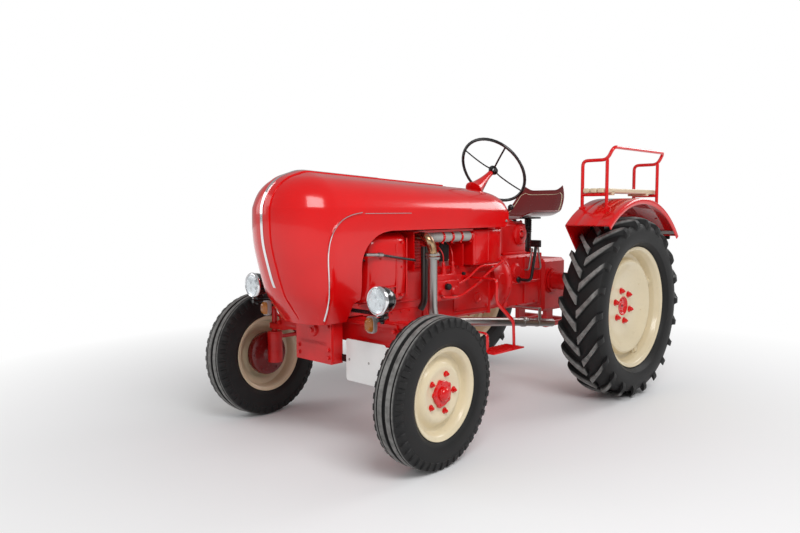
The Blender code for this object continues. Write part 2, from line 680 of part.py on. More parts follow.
def drive_line():
    bell_front = SUPPORT_REAR + ENGINE_LENGTH + GAP
    bell_rear = bell_front + BELL_LENGTH
    bell = rod("bell_housing", spot(0, bell_front, BELL_Z), spot(0, bell_rear, BELL_Z), BELL_RADIUS,
               RED, steps=28)
    post = box("cowl_post", spot(-0.12, bell_front + 0.01, BELL_Z), spot(0.12, bell_front + 0.09,
                                                                         COWL_LOW - GAP), None, cutters)
    add(bell, post)
    gear_front = bell_rear + GAP
    gear_rear = WHEELBASE - REAR_CASE_HALF_LENGTH - GAP
    half = GEARBOX_HALF_WIDTH
    box("gearbox", spot(-half, gear_front, GEARBOX_LOW), spot(half, gear_rear, GEARBOX_HIGH), RED,
        bevel=0.015)
    rear_front = WHEELBASE - REAR_CASE_HALF_LENGTH
    rear_rear = WHEELBASE + REAR_CASE_HALF_LENGTH
    wide = REAR_CASE_HALF_WIDTH
    case = box("rear_axle_housing", spot(-wide, rear_front, REAR_CASE_LOW),
               spot(wide, rear_rear, REAR_CASE_HIGH), RED, bevel=0.02)
    trumpet_y = WHEELBASE - TRUMPET_FORWARD
    trumpets = rod("trumpets", spot(-FINAL_DRIVE_IN, trumpet_y, TRUMPET_Z),
                   spot(FINAL_DRIVE_IN, trumpet_y, TRUMPET_Z), TRUMPET_RADIUS, None, cutters, steps=20)
    add(case, trumpets)
    for side, name in ((1, "left"), (-1, "right")):
        inner = side * (FINAL_DRIVE_IN + GAP)
        outer = side * FINAL_DRIVE_OUT
        made = rod("final_drive_" + name, spot(inner, WHEELBASE, REAR_AXLE_Z),
                   spot(outer, WHEELBASE, REAR_AXLE_Z), FINAL_DRIVE_RADIUS, RED, steps=24)
        upper = rod("upper_case", spot(inner, trumpet_y, TRUMPET_Z), spot(outer, trumpet_y, TRUMPET_Z),
                    FINAL_DRIVE_RADIUS, None, cutters, steps=24)
        low_x, high_x = sorted((side * 0.44, side * (FENDER_IN - GAP)))
        bracket = box("fender_bracket", spot(low_x, WHEELBASE - 0.09, TRUMPET_Z),
                      spot(high_x, WHEELBASE + 0.03, REAR_AXLE_Z + FENDER_WALL_RADIUS + 0.07),
                      None, cutters)
        shaft = rod("wheel_shaft", spot(side * 0.45, WHEELBASE, REAR_AXLE_Z),
                    spot(side * (REAR_HALF_TRACK - 0.022), WHEELBASE, REAR_AXLE_Z),
                    REAR_SHAFT_RADIUS, None, cutters, steps=24)
        add(made, upper, bracket, shaft)


def cowl():
    """The fixed cover behind the hood, inside the band that the hood carries back."""
    levels = [level for level in HOOD_LEVELS if level[0] >= HOOD_CREASE_Z]
    half = []
    for z, half_width, _ in levels:
        half.append((half_width * COWL_HALF_WIDTH / HOOD_HALF_WIDTH, z - 0.003))
    half.append((COWL_HALF_WIDTH, COWL_LOW + 0.03))
    half.append((COWL_HALF_WIDTH - 0.02, COWL_LOW))
    outline = half + [(-x, z) for x, z in reversed(half) if x > 0]
    front = HOOD_SEAM + 0.005
    # each slice: (Y from the front axle, how much it is drawn in)
    slices = ((front, 0.0), (1.05, 0.0), (1.14, 0.006), (1.18, 0.018), (COWL_REAR, 0.040))
    shape = bmesh.new()
    rings = []
    for y, inset in slices:
        ring = []
        for x, z in outline:
            drop = HOOD_TOP_DROP * y * max(0.0, (z - HOOD_CREASE_Z) / (1.383 - HOOD_CREASE_Z))
            shrink = 1 - inset / COWL_HALF_WIDTH
            level = COWL_LOW + (z - drop - COWL_LOW) * (1 - inset / 0.25)
            ring.append(shape.verts.new(spot(x * shrink, y, level)))
        rings.append(ring)
    count = len(outline)
    for before, after in zip(rings, rings[1:]):
        for index in range(count):
            following = (index + 1) % count
            shape.faces.new((before[index], before[following], after[following], after[index]))
    shape.faces.new(rings[0])
    shape.faces.new(rings[-1])
    bmesh.ops.recalc_face_normals(shape, faces=shape.faces)
    mesh = bpy.data.meshes.new("cowl")
    shape.to_mesh(mesh)
    shape.free()
    made = adopt("cowl", mesh, RED)
    hub = spot(*WHEEL_HUB)
    base = hub - COLUMN_AXIS * 0.24
    tip = hub - COLUMN_AXIS * 0.035
    seat = rod("column_seat", base - COLUMN_AXIS * GAP, tip, 0.055 + GAP, None, cutters,
               end_radius=0.018 + GAP, steps=20)
    cut(made, seat)
    column = rod("steering_column", base, tip, 0.055, RED, end_radius=0.018, steps=20)
    shaft = rod("steering_shaft", tip - COLUMN_AXIS * 0.01, hub + COLUMN_AXIS * 0.004, 0.010,
                None, cutters)
    add(column, shaft)


def steering_wheel():
    hub = spot(*WHEEL_HUB)
    made = rod("steering_wheel", hub - COLUMN_AXIS * 0.025, hub + COLUMN_AXIS * 0.022, 0.032, BLACK,
               steps=20)
    bpy.ops.mesh.primitive_torus_add(major_radius=STEERING_WHEEL_RADIUS, minor_radius=0.011,
                                     major_segments=28, minor_segments=6)
    ring = bpy.context.object
    ring.name = "wheel_ring"
    for owner in list(ring.users_collection):
        owner.objects.unlink(ring)
    cutters.objects.link(ring)
    ring.location = hub
    ring.rotation_mode = "QUATERNION"
    ring.rotation_quaternion = along(COLUMN_AXIS)
    add(made, ring)
    for index in range(4):
        angle = math.pi / 4 + math.pi / 2 * index
        across = Vector((1, 0, 0))
        up = COLUMN_AXIS.cross(across)
        reach = across * math.cos(angle) + up * math.sin(angle)
        spoke = rod("spoke", hub, hub + reach * STEERING_WHEEL_RADIUS, 0.007, None, cutters, steps=8)
        add(made, spoke)
    bore = rod("hub_bore", hub - COLUMN_AXIS * 0.05, hub + COLUMN_AXIS * 0.006, 0.0108, None, cutters)
    cut(made, bore)


def controls():
    gear_front = SUPPORT_REAR + ENGINE_LENGTH + BELL_LENGTH + 2 * GAP
    top = GEARBOX_HIGH + GAP
    case = box("steering_box", spot(-0.085, gear_front + 0.02, top), spot(0.085, gear_front + 0.30, 1.12),
               RED, bevel=0.012)
    cover = rod("round_cover", spot(0.08, gear_front + 0.22, 1.03), spot(0.105, gear_front + 0.22, 1.03),
                0.07, None, cutters, steps=24)
    add(case, cover)
    lever = tube("gear_lever", (spot(0.05, gear_front + 0.06, 1.12 + GAP), spot(0.05, gear_front + 0.06, 1.14),
                                spot(0.08, gear_front + 0.06, 1.17),
                                spot(0.12, gear_front + 0.07, 1.21)), 0.008, BLACK, bend=0.02)
    knob = turned("lever_knob", ball_profile(0.020), spot(0.12, gear_front + 0.07, 1.21), (0, 0, 1),
                  None, steps=12, collection=cutters)
    add(lever, knob)
    for side, name in ((1, "clutch_pedal"), (-1, "brake_pedal")):
        start = GEARBOX_HALF_WIDTH + GAP
        arm = tube(name, (spot(side * start, gear_front + 0.13, 0.74), spot(side * 0.24, gear_front + 0.13, 0.74),
                          spot(side * 0.25, gear_front + 0.17, 0.97)), 0.011, BLACK, bend=0.03)
        pad = box("pedal_pad", spot(side * 0.25 - 0.04, gear_front + 0.155, 0.955),
                  spot(side * 0.25 + 0.04, gear_front + 0.185, 1.0), None, cutters, bevel=0.006)
        add(arm, pad)


def ball_profile(radius, steps=6):
    return [(radius * math.sin(math.pi * step / steps), radius * math.cos(math.pi * step / steps))
            for step in range(steps + 1)]


def seat():
    """A pressed pan: flat in the middle, raised at the sides and the back."""
    columns = 8
    rows = 10
    shape = bmesh.new()
    grid = []
    for row in range(rows + 1):
        along_seat = row / rows
        line = []
        for column in range(columns + 1):
            across = 2 * column / columns - 1
            narrow = 1 - 0.18 * (1 - along_seat) ** 3 - 0.22 * max(0.0, along_seat - 0.6) ** 2 / 0.16
            side_rise = 0.030 * max(0.0, (abs(across) - 0.55) / 0.45) ** 2
            back_rise = SEAT_RISE * max(0.0, (along_seat - 0.70) / 0.30) ** 1.5
            front_drop = -0.020 * max(0.0, (0.18 - along_seat) / 0.18) ** 2
            y = SEAT_FRONT + SEAT_LENGTH * along_seat - 0.03 * abs(across) ** 2 * max(0.0, along_seat - 0.5)
            line.append(shape.verts.new(spot(across * SEAT_HALF_WIDTH * narrow, y,
                                             SEAT_Z + side_rise + back_rise + front_drop)))
        grid.append(line)
    for before, after in zip(grid, grid[1:]):
        for index in range(columns):
            shape.faces.new((before[index], before[index + 1], after[index + 1], after[index]))
    mesh = bpy.data.meshes.new("seat_pan")
    shape.to_mesh(mesh)
    shape.free()
    made = adopt("seat_pan", mesh, DARK_RED)
    sheet = made.modifiers.new("sheet", "SOLIDIFY")
    sheet.thickness = SEAT_SHEET
    sheet.offset = -1
    under = SEAT_Z - SEAT_SHEET - GAP
    gear_front = SUPPORT_REAR + ENGINE_LENGTH + BELL_LENGTH
    foot = max(WHEELBASE - REAR_CASE_HALF_LENGTH + 0.02, gear_front + 0.32)
    carrier = box("seat_bracket", spot(-0.03, foot, REAR_CASE_HIGH + GAP),
                  spot(0.03, foot + 0.05, under), BLACK)
    top_plate = box("seat_plate", spot(-0.09, foot - 0.10, under - 0.012), spot(0.09, foot + 0.05, under),
                    None, cutters)
    add(carrier, top_plate)


# A fender's section: (X from its inner wall, how far inside the crown)
def fender_section():
    wide = FENDER_OUT - FENDER_IN
    deep = FENDER_RADIUS - FENDER_WALL_RADIUS
    return ((0.0, deep), (0.0, 0.014), (0.010, 0.0), (wide - 0.012, 0.0), (wide, 0.010), (wide, 0.035))


FENDER_STEPS = 15


def fender_angles():
    span = FENDER_FRONT_ANGLE - FENDER_REAR_ANGLE
    return [math.radians(FENDER_REAR_ANGLE + span * step / FENDER_STEPS)
            for step in range(FENDER_STEPS + 1)]


def fender(side, name):
    shape = bmesh.new()
    rings = []
    for angle in fender_angles():
        ring = []
        for across, inside in fender_section():
            reach = FENDER_RADIUS - inside
            x = side * (FENDER_IN + across)
            y = REAR_AXLE_Y + reach * math.cos(angle)
            z = REAR_AXLE_Z + reach * math.sin(angle)
            ring.append(shape.verts.new((x, y, z)))
        rings.append(ring)
    for before, after in zip(rings, rings[1:]):
        for index in range(len(before) - 1):
            corners = (before[index], after[index], after[index + 1], before[index + 1])
            shape.faces.new(corners if side > 0 else tuple(reversed(corners)))
    mesh = bpy.data.meshes.new(name)
    shape.to_mesh(mesh)
    shape.free()
    made = adopt(name, mesh, RED)
    skin = made.modifiers.new("sheet", "SOLIDIFY")
    skin.thickness = FENDER_SHEET
    skin.offset = -1
    skin.use_even_offset = True
    return made


def fender_mass(extra):
    """The space below the crown's upper face, as an outline for trimming what stands on it."""
    reach = FENDER_RADIUS + extra
    outline = [(REAR_AXLE_Y + reach * math.cos(angle), REAR_AXLE_Z + reach * math.sin(angle))
               for angle in fender_angles()]
    outline.append((REAR_AXLE_Y, REAR_AXLE_Z))
    return side_plate("crown_space", outline, FENDER_IN - 0.1, FENDER_OUT + 0.1, None, cutters)


def passenger_place():
    inner, outer = RAIL_POST_X
    front, rear = (WHEELBASE + y for y in RAIL_Y)
    back_x, back_z = RAIL_BACK
    foot = 1.05
    bar_z = BENCH_TOP - SLAT_THICKNESS - GAP - RAIL_RADIUS
    made = tube("passenger_rail", (spot(inner, front, foot), spot(inner, front, RAIL_ARM_Z),
                                   spot(outer, front, RAIL_ARM_Z), spot(back_x, front, back_z),
                                   spot(back_x, rear, back_z), spot(outer, rear, RAIL_ARM_Z),
                                   spot(inner, rear, RAIL_ARM_Z), spot(inner, rear, foot)),
                RAIL_RADIUS, RED, bend=0.035)
    for y in (front, rear):
        post = rod("outer_post", spot(outer, y, foot), spot(outer, y, RAIL_ARM_Z), RAIL_RADIUS * 0.95,
                   None, cutters, steps=12)
        bar = rod("bench_bar", spot(inner, y, bar_z), spot(outer, y, bar_z), RAIL_RADIUS * 0.95,
                  None, cutters, steps=12)
        add(made, post, bar)
    cut(made, fender_mass(GAP))
    low = BENCH_TOP - SLAT_THICKNESS
    start = inner + RAIL_RADIUS + 0.004
    width = (outer - inner - 2 * RAIL_RADIUS - 0.008 - 2 * 0.012) / 3
    bench = None
    for index in range(3):
        x = start + (width + 0.012) * index
        slat = box("passenger_bench" if bench is None else "slat", spot(x, front - 0.02, low),
                   spot(x + width, rear + 0.02, BENCH_TOP), CREAM if bench is None else None,
                   tractor if bench is None else cutters)
        if bench is None:
            bench = slat
        else:
            add(bench, slat)
    for y in (front + 0.10, rear - 0.12):
        batten = box("batten", spot(start, y, low - 0.014), spot(start + 3 * width + 0.024, y + 0.03,
                                                                 low + 0.012), None, cutters)
        add(bench, batten)


def lamps():
    profile = [(0, LAMP_DEPTH), (0.050, LAMP_DEPTH - 0.004), (LAMP_RADIUS, LAMP_DEPTH - 0.012),
               (LAMP_RADIUS, LAMP_DEPTH - 0.026), (0.064, LAMP_DEPTH - 0.034), (0.050, 0.030),
               (0.022, 0.004), (0, 0)]
    back = LAMP_FRONT + LAMP_DEPTH
    foot_y = LAMP_FRONT + 0.019
    signal_back = -0.135
    for side, name in ((1, "left"), (-1, "right")):
        turned("headlight_" + name, profile, spot(side * LAMP_X, back, LAMP_Z), (0, -1, 0), BLACK,
               steps=24)
        turned("signal_" + name, [(0, 0.052), (0.024, 0.046), (0.030, 0.026), (0.030, 0.004), (0.022, 0),
                                  (0, 0)], spot(side * 0.418, signal_back, 0.67), (0, -1, 0), AMBER, steps=16)
        arm = tube("lamp_bracket_" + name, (spot(side * (SUPPORT_HALF_WIDTH + GAP), -0.045, 0.695),
                                            spot(side * 0.30, -0.045, 0.695),
                                            spot(side * 0.46, -0.085, 0.695),
                                            spot(side * LAMP_X, foot_y + 0.03, 0.695),
                                            spot(side * LAMP_X, foot_y - 0.006, 0.695)), 0.011, BLACK,
                   bend=0.03)
        post = rod("lamp_post", spot(side * LAMP_X, foot_y, 0.690),
                   spot(side * LAMP_X, foot_y, LAMP_Z - LAMP_RADIUS - GAP), 0.010, None, cutters, steps=12)
        stem = rod("signal_stem", spot(side * 0.418, -0.065, 0.690), spot(side * 0.418, signal_back + 0.003, 0.67),
                   0.009, None, cutters, steps=12)
        add(arm, post, stem)
        tail = fender_end(side)
        box("tail_lamp_" + name, (tail[0] - 0.035, tail[1], tail[2] - 0.03),
            (tail[0] + 0.035, tail[1] + 0.025, tail[2] + 0.03), RUBY, bevel=0.006)


def fender_end(side):
    """Where a tail lamp sits, just behind the rear lip of the crown."""
    angle = math.radians(FENDER_REAR_ANGLE)
    y = REAR_AXLE_Y + FENDER_RADIUS * math.cos(angle) + GAP
    z = REAR_AXLE_Z + FENDER_RADIUS * math.sin(angle)
    return (side * 0.70, y, z)


def plate():
    strap_y = SUPPORT_FRONT + SUPPORT_FRONT_DEPTH - 0.006
    box("plate_bracket", spot(SUPPORT_HALF_WIDTH + GAP, strap_y, 0.44), spot(0.36, strap_y + 0.005, 0.475), BLACK)
    box("number_plate", spot(0.176, strap_y - GAP - 0.003, 0.350), spot(0.456, strap_y - GAP, 0.560), WHITE)


# A foot step: a flat tread that hangs on a cranked bar and on a low arm from the crankcase
STEP_X = 0.40
STEP_BAR_RADIUS = 0.013
STEP_HANGER = ((0.85, 0.80), (0.848, 0.669), (1.014, 0.541), (1.022, 0.398))
STEP_POST_Y = 0.764
STEP_ARM_Z = 0.50
TREAD_FRONT = 0.738
TREAD_REAR = 1.035
TREAD_LOW = 0.388
TREAD_HIGH = 0.402
TREAD_HALF_WIDTH = 0.065


def foot_steps():
    for side, name in ((1, "left"), (-1, "right")):
        start = side * (CRANKCASE_HALF_WIDTH + GAP)
        x = side * STEP_X
        first_y, first_z = STEP_HANGER[0]
        route = [spot(start, first_y, first_z)] + [spot(x, y, z) for y, z in STEP_HANGER]
        made = tube("foot_step_" + name, route, STEP_BAR_RADIUS, RED, bend=0.03)
        foot = side * (CRANKCASE_HALF_WIDTH - 0.025)
        arm = tube("step_arm", (spot(x, STEP_POST_Y, TREAD_LOW + 0.01), spot(x, STEP_POST_Y, STEP_ARM_Z),
                                spot(foot, STEP_POST_Y, STEP_ARM_Z),
                                spot(foot, STEP_POST_Y, CRANKCASE_LOW - GAP)), STEP_BAR_RADIUS * 0.9,
                   None, cutters, bend=0.03)
        low_x, high_x = sorted((side * (STEP_X - TREAD_HALF_WIDTH), side * (STEP_X + TREAD_HALF_WIDTH)))
        tread = box("step_tread", spot(low_x, TREAD_FRONT, TREAD_LOW), spot(high_x, TREAD_REAR, TREAD_HIGH),
                    None, cutters)
        add(made, arm, tread)


def hitch():
    start = WHEELBASE + REAR_CASE_HALF_LENGTH + GAP
    made = box("hitch_frame", spot(-0.13, start, 0.52), spot(0.13, start + 0.05, 0.68), RED, bevel=0.006)
    jaw = box("hitch_jaw", spot(-0.05, start + 0.04, 0.56), spot(0.05, start + 0.16, 0.64), None, cutters)
    slot = box("jaw_slot", spot(-0.06, start + 0.08, 0.585), spot(0.06, start + 0.20, 0.615), None, cutters)
    hole = rod("jaw_hole", spot(0, start + 0.12, 0.50), spot(0, start + 0.12, 0.70), 0.0165, None, cutters)
    add(made, jaw)
    cut(made, slot, hole)
    rod("power_shaft", spot(0, start, 0.76), spot(0, start + 0.09, 0.76), 0.0175, STEEL)
    bar = box("drawbar", spot(-0.32, WHEELBASE + 0.24, 0.38), spot(0.32, WHEELBASE + 0.29, 0.41), RED)
    for side in (-1, 1):
        low_x, high_x = sorted((side * 0.10, side * 0.13))
        arm = box("drawbar_arm", spot(low_x, WHEELBASE - 0.05, 0.38), spot(high_x, WHEELBASE + 0.26, 0.41),
                  None, cutters)
        drop = box("drawbar_drop", spot(low_x, WHEELBASE - 0.05, 0.385), spot(high_x, WHEELBASE + 0.03,
                                                                              REAR_CASE_LOW - GAP), None, cutters)
        add(bar, arm, drop)


front_support()
front_axle()
knuckle(1, "knuckle_left")
knuckle(-1, "knuckle_right")
tie_rod()
wheels()
hood()
engine()
exhaust()
drive_line()
cowl()
steering_wheel()
controls()
seat()
fender(1, "fender_left")
fender(-1, "fender_right")
passenger_place()
lamps()
plate()
foot_steps()
hitch()
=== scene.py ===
import json
import math
import bmesh
import bpy
from mathutils import Matrix, Vector


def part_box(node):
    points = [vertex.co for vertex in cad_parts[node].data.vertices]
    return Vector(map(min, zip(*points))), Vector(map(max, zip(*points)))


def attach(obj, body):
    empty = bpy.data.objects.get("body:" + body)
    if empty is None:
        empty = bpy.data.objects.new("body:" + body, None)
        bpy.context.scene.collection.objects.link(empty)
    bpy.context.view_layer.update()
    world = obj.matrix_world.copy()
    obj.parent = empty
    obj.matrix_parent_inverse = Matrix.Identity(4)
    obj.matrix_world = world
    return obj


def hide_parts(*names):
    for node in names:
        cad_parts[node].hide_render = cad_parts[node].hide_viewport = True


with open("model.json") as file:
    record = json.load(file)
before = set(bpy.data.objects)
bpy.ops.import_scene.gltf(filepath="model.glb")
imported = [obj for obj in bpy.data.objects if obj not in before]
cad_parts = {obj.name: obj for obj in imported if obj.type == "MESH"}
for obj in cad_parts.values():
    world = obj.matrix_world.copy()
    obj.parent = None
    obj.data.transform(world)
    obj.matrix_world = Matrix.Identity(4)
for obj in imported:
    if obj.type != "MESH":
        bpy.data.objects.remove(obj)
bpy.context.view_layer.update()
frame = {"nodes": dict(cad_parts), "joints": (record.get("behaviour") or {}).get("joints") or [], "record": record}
joints = {joint["name"]: joint for joint in frame["joints"]}
frontAxleY = joints["steer_left"]["pos_m"][1]
rearAxleY, rearAxleZ = joints["rear_left_spin"]["pos_m"][1:]
wheelbase = rearAxleY - frontAxleY
sides = ((1, "Left"), (-1, "Right"))
print("frame loaded")


# A socket that can be used in sums
class Wire:
    def __init__(self, tree, socket):
        self.tree = tree
        self.socket = socket

    def maths(self, operation, *others, clamp=False):
        node = self.tree.nodes.new("ShaderNodeMath")
        node.operation = operation
        node.use_clamp = clamp
        for place, value in enumerate((self,) + others):
            connect(self.tree, value, node.inputs[place])
        return Wire(self.tree, node.outputs[0])

    def __add__(self, other):
        return self.maths("ADD", other)

    def __mul__(self, other):
        return self.maths("MULTIPLY", other)

    def __sub__(self, other):
        return self.maths("SUBTRACT", other)

    def __truediv__(self, other):
        return self.maths("DIVIDE", other)

    def __pow__(self, other):
        return self.maths("POWER", other)

    def above(self, level, width):
        return ((self - level) / width).maths("ADD", 0.0, clamp=True)


def connect(tree, value, socket):
    if isinstance(value, Wire):
        tree.links.new(value.socket, socket)
    elif isinstance(value, (tuple, list)) and len(value) == 3 and len(socket.default_value) == 4:
        socket.default_value = (*value, 1)
    else:
        socket.default_value = value


# A material with one Principled shader, and the one way to add any other node
class Finish:
    def __init__(self, name, **constants):
        self.material = bpy.data.materials.new(name)
        self.material.use_nodes = True
        self.tree = self.material.node_tree
        self.shader = self.tree.nodes["Principled BSDF"]
        for socket, value in constants.items():
            connect(self.tree, value, self.shader.inputs[socket.replace("_", " ")])

    def node(self, kind, settings=None, output=0, **sockets):
        node = self.tree.nodes.new("ShaderNode" + kind)
        for key, value in (settings or {}).items():
            if key == "stops":
                for place, (position, colour) in enumerate(value):
                    stops = node.color_ramp.elements
                    stop = stops[place] if place < 2 else stops.new(position)
                    stop.position = position
                    stop.color = (*colour, 1)
            else:
                setattr(node, key, value)
        for key, value in sockets.items():
            place = int(key[1:]) if key[0] == "i" and key[1:].isdigit() else key.replace("_", " ")
            connect(self.tree, value, node.inputs[place])
        return Wire(self.tree, node.outputs[output])

    def place(self):
        return self.node("TexCoord", output="Object")

    def noise(self, scale, detail=3.0, roughness=0.5, stretch=None):
        where = self.place()
        if stretch:
            where = self.node("Mapping", Vector=where, Scale=stretch)
        return self.node("TexNoise", Vector=where, Scale=scale, Detail=detail, Roughness=roughness)

    def mix(self, share, first, second, blend="MIX"):
        return self.node("Mix", {"data_type": "RGBA", "blend_type": blend}, 2, i0=share, i6=first,
            i7=second)

    def set(self, **sockets):
        for key, value in sockets.items():
            connect(self.tree, value, self.shader.inputs[key.replace("_", " ")])
        return self

    def bump(self, height, strength, distance):
        normal = self.node("Bump", Height=height, Strength=strength, Distance=distance)
        return self.set(Normal=normal)


# Colours that more than one finish uses, or that name a paint
paint = {"red": (0.69, 0.0025, 0.0035), "darkRed": (0.165, 0.006, 0.007), "cream": (0.76, 0.655, 0.455),
    "black": (0.011, 0.011, 0.012), "white": (0.88, 0.88, 0.87), "grey": (0.16, 0.165, 0.17),
    "steel": (0.43, 0.42, 0.405)}


def enamel(name, colour, rough=0.2, peel=0.05, grime=0.1, coat=0.45):
    made = Finish(name, Roughness=rough, Coat_Weight=coat, Coat_Roughness=0.06, Specular_IOR_Level=0.35)
    broad = made.noise(5.0, 4.0, 0.55)
    fine = made.noise(46.0, 3.0, 0.6)
    shade = made.mix(broad.above(0.35, 0.35) * 0.35, colour, tuple(part * 0.8 for part in colour))
    dusty = fine.above(0.56, 0.18) * grime
    made.set(Base_Color=made.mix(dusty, shade, tuple(part * 0.6 + 0.02 for part in colour)),
        Roughness=broad * 0.1 + fine * 0.06 + (rough - 0.08))
    return made.bump(made.noise(260.0, 2.0, 0.5), peel, 0.0004)


def castPaint(name, colour):
    made = Finish(name, Specular_IOR_Level=0.5)
    broad = made.noise(9.0, 5.0, 0.6)
    grain = made.noise(180.0, 4.0, 0.65)
    oil = made.noise(3.2, 3.0, 0.5).above(0.52, 0.16)
    shade = made.mix(broad.above(0.3, 0.4) * 0.5, colour, tuple(part * 0.66 for part in colour))
    made.set(Base_Color=made.mix(oil * 0.45, shade, tuple(part * 0.45 for part in colour)),
        Roughness=grain * 0.22 + broad * 0.1 + 0.2)
    return made.bump(grain, 0.45, 0.0012)


def rubber(name, colour=(0.0095, 0.0095, 0.01), dust=0.13):
    made = Finish(name, Specular_IOR_Level=0.28)
    broad = made.noise(7.0, 5.0, 0.6)
    grain = made.noise(420.0, 3.0, 0.6)
    dusty = (broad.above(0.42, 0.3) * 0.6 + grain.above(0.5, 0.3) * 0.4) * dust
    made.set(Base_Color=made.mix(dusty, colour, (0.095, 0.088, 0.078)), Roughness=broad * 0.25 + 0.42)
    return made.bump(grain * 0.7 + broad * 0.3, 0.35, 0.0008)


# Rubber whose ground-touching tops are scuffed pale, from the distance to the wheel's own axle
def tread(name, low, high):
    made = rubber(name)
    apart = made.node("SeparateXYZ", output="Y", Vector=made.place())
    height = Wire(made.tree, apart.socket.node.outputs["Z"])
    reach = (apart * apart + height * height) ** 0.5
    scuffed = reach.above(low, high - low) * (made.noise(26.0, 4.0, 0.6).above(0.22, 0.35) * 0.75 + 0.25)
    plain = made.shader.inputs["Base Color"].links[0].from_socket
    made.set(Base_Color=made.mix(scuffed * 0.85, Wire(made.tree, plain), (0.27, 0.265, 0.255)))
    return made


def brightMetal(name, colour, rough=0.06, streak=0.05):
    made = Finish(name, Metallic=1.0)
    smear = made.noise(30.0, 3.0, 0.6)
    pits = made.noise(300.0, 2.0, 0.5)
    made.set(Base_Color=made.mix(smear.above(0.4, 0.4) * 0.25, colour,
        tuple(part * 0.85 for part in colour)), Roughness=smear * streak * 2 + rough)
    return made.bump(pits, 0.04, 0.0003)


def heated(name):
    made = Finish(name, Metallic=1.0)
    cloud = made.noise(16.0, 4.0, 0.6)
    tint = made.node("ValToRGB", {"stops": ((0.3, (0.62, 0.53, 0.42)), (0.48, (0.46, 0.29, 0.15)),
        (0.62, (0.3, 0.17, 0.12)), (0.75, (0.5, 0.42, 0.34)))}, Fac=cloud)
    made.set(Base_Color=tint, Roughness=cloud * 0.25 + 0.12)
    return made.bump(made.noise(150.0, 3.0, 0.6), 0.12, 0.0005)


def lacquerWood(name, colour):
    made = Finish(name, Coat_Weight=0.25, Coat_Roughness=0.2)
    grain = made.noise(22.0, 6.0, 0.6, stretch=(9.0, 0.6, 9.0))
    fine = made.noise(70.0, 4.0, 0.6, stretch=(6.0, 0.4, 6.0))
    made.set(Base_Color=made.mix(grain.above(0.4, 0.25) * 0.6, colour,
        tuple(part * 0.72 for part in colour)), Roughness=fine * 0.25 + 0.3)
    return made.bump(grain * 0.6 + fine * 0.4, 0.35, 0.001)


def lens(name, colour, rough=0.05):
    made = Finish(name, Transmission_Weight=0.92, IOR=1.45, Coat_Weight=0.5)
    speck = made.noise(90.0, 2.0, 0.5)
    made.set(Base_Color=made.mix(speck * 0.2, colour, tuple(part * 0.8 for part in colour)),
        Roughness=speck * 0.04 + rough)
    return made.bump(made.noise(60.0, 1.0, 0.5), 0.1, 0.001)


finishes = {"red": enamel("redEnamel", paint["red"]), "castRed": castPaint("castingRed", paint["red"]),
    "darkRed": enamel("darkRedEnamel", paint["darkRed"], 0.26),
    "cream": enamel("creamEnamel", paint["cream"], 0.3, grime=0.16, coat=0.35),
    "black": enamel("blackEnamel", paint["black"], 0.28, coat=0.4),
    "white": enamel("plainWhite", paint["white"], 0.35, peel=0.04, grime=0.05, coat=0.2),
    "grey": castPaint("castGrey", paint["grey"]), "rubber": rubber("tyreRubber"),
    "tread": tread("wornTread", 0.5555, 0.5665), "ribs": tread("wornRibs", 0.3525, 0.3555),
    "hose": rubber("blackHose", (0.014, 0.014, 0.014), 0.1),
    "paleHose": rubber("paleHose", (0.42, 0.41, 0.39), 0.3),
    "darkPipe": brightMetal("darkPipe", (0.1, 0.095, 0.09), 0.3, 0.1),
    "blackGloss": enamel("blackGloss", (0.006, 0.006, 0.0065), 0.16, coat=0.8),
    "paleGrey": enamel("paleGrey", (0.42, 0.42, 0.41), 0.35, coat=0.1),
    "mirror": brightMetal("lampMirror", (0.86, 0.87, 0.88), 0.1, 0.04),
    "chrome": brightMetal("brightChrome", (0.82, 0.82, 0.84), 0.05),
    "steel": brightMetal("brushedPipe", paint["steel"], 0.2, 0.12), "bronze": heated("heatTint"),
    "wood": lacquerWood("creamSlats", (0.72, 0.62, 0.42)), "amber": lens("amberLens", (0.9, 0.28, 0.02)),
    "ruby": lens("rubyLens", (0.62, 0.01, 0.01)), "glass": lens("clearLens", (0.92, 0.95, 0.97), 0.03)}
slotFinish = {"red_paint": "red", "dark_red_paint": "darkRed", "cream_paint": "cream",
    "black_paint": "black", "tyre": "rubber", "chrome": "chrome", "polished_steel": "steel",
    "heat_tinted_steel": "bronze", "cast_grey": "grey", "white_plate": "white", "amber_lens": "amber",
    "red_lens": "ruby", "black_plastic": "hose"}
castings = ("front_support", "front_axle", "crankcase", "cylinder_bank", "side_box", "injection_pump",
    "bell_housing", "gearbox", "rear_axle_housing", "final_drive_left", "final_drive_right",
    "steering_box", "hitch_frame", "drawbar", "knuckle_left", "knuckle_right")
for entry in frame["record"]["subparts"]:
    node = frame["nodes"][entry["node"]]
    chosen = "castRed" if entry["node"] in castings else slotFinish[entry["material_slot"]]
    node.data.materials.clear()
    node.data.materials.append(finishes[chosen].material)
print("finishes made")


def spot(x, y, z):
    return Vector((x, frontAxleY + y, z))


gearboxWall = 0.1403


# A vector stays as it is, a tuple is measured from the front axle
def at(point):
    return point if isinstance(point, Vector) else spot(*point)


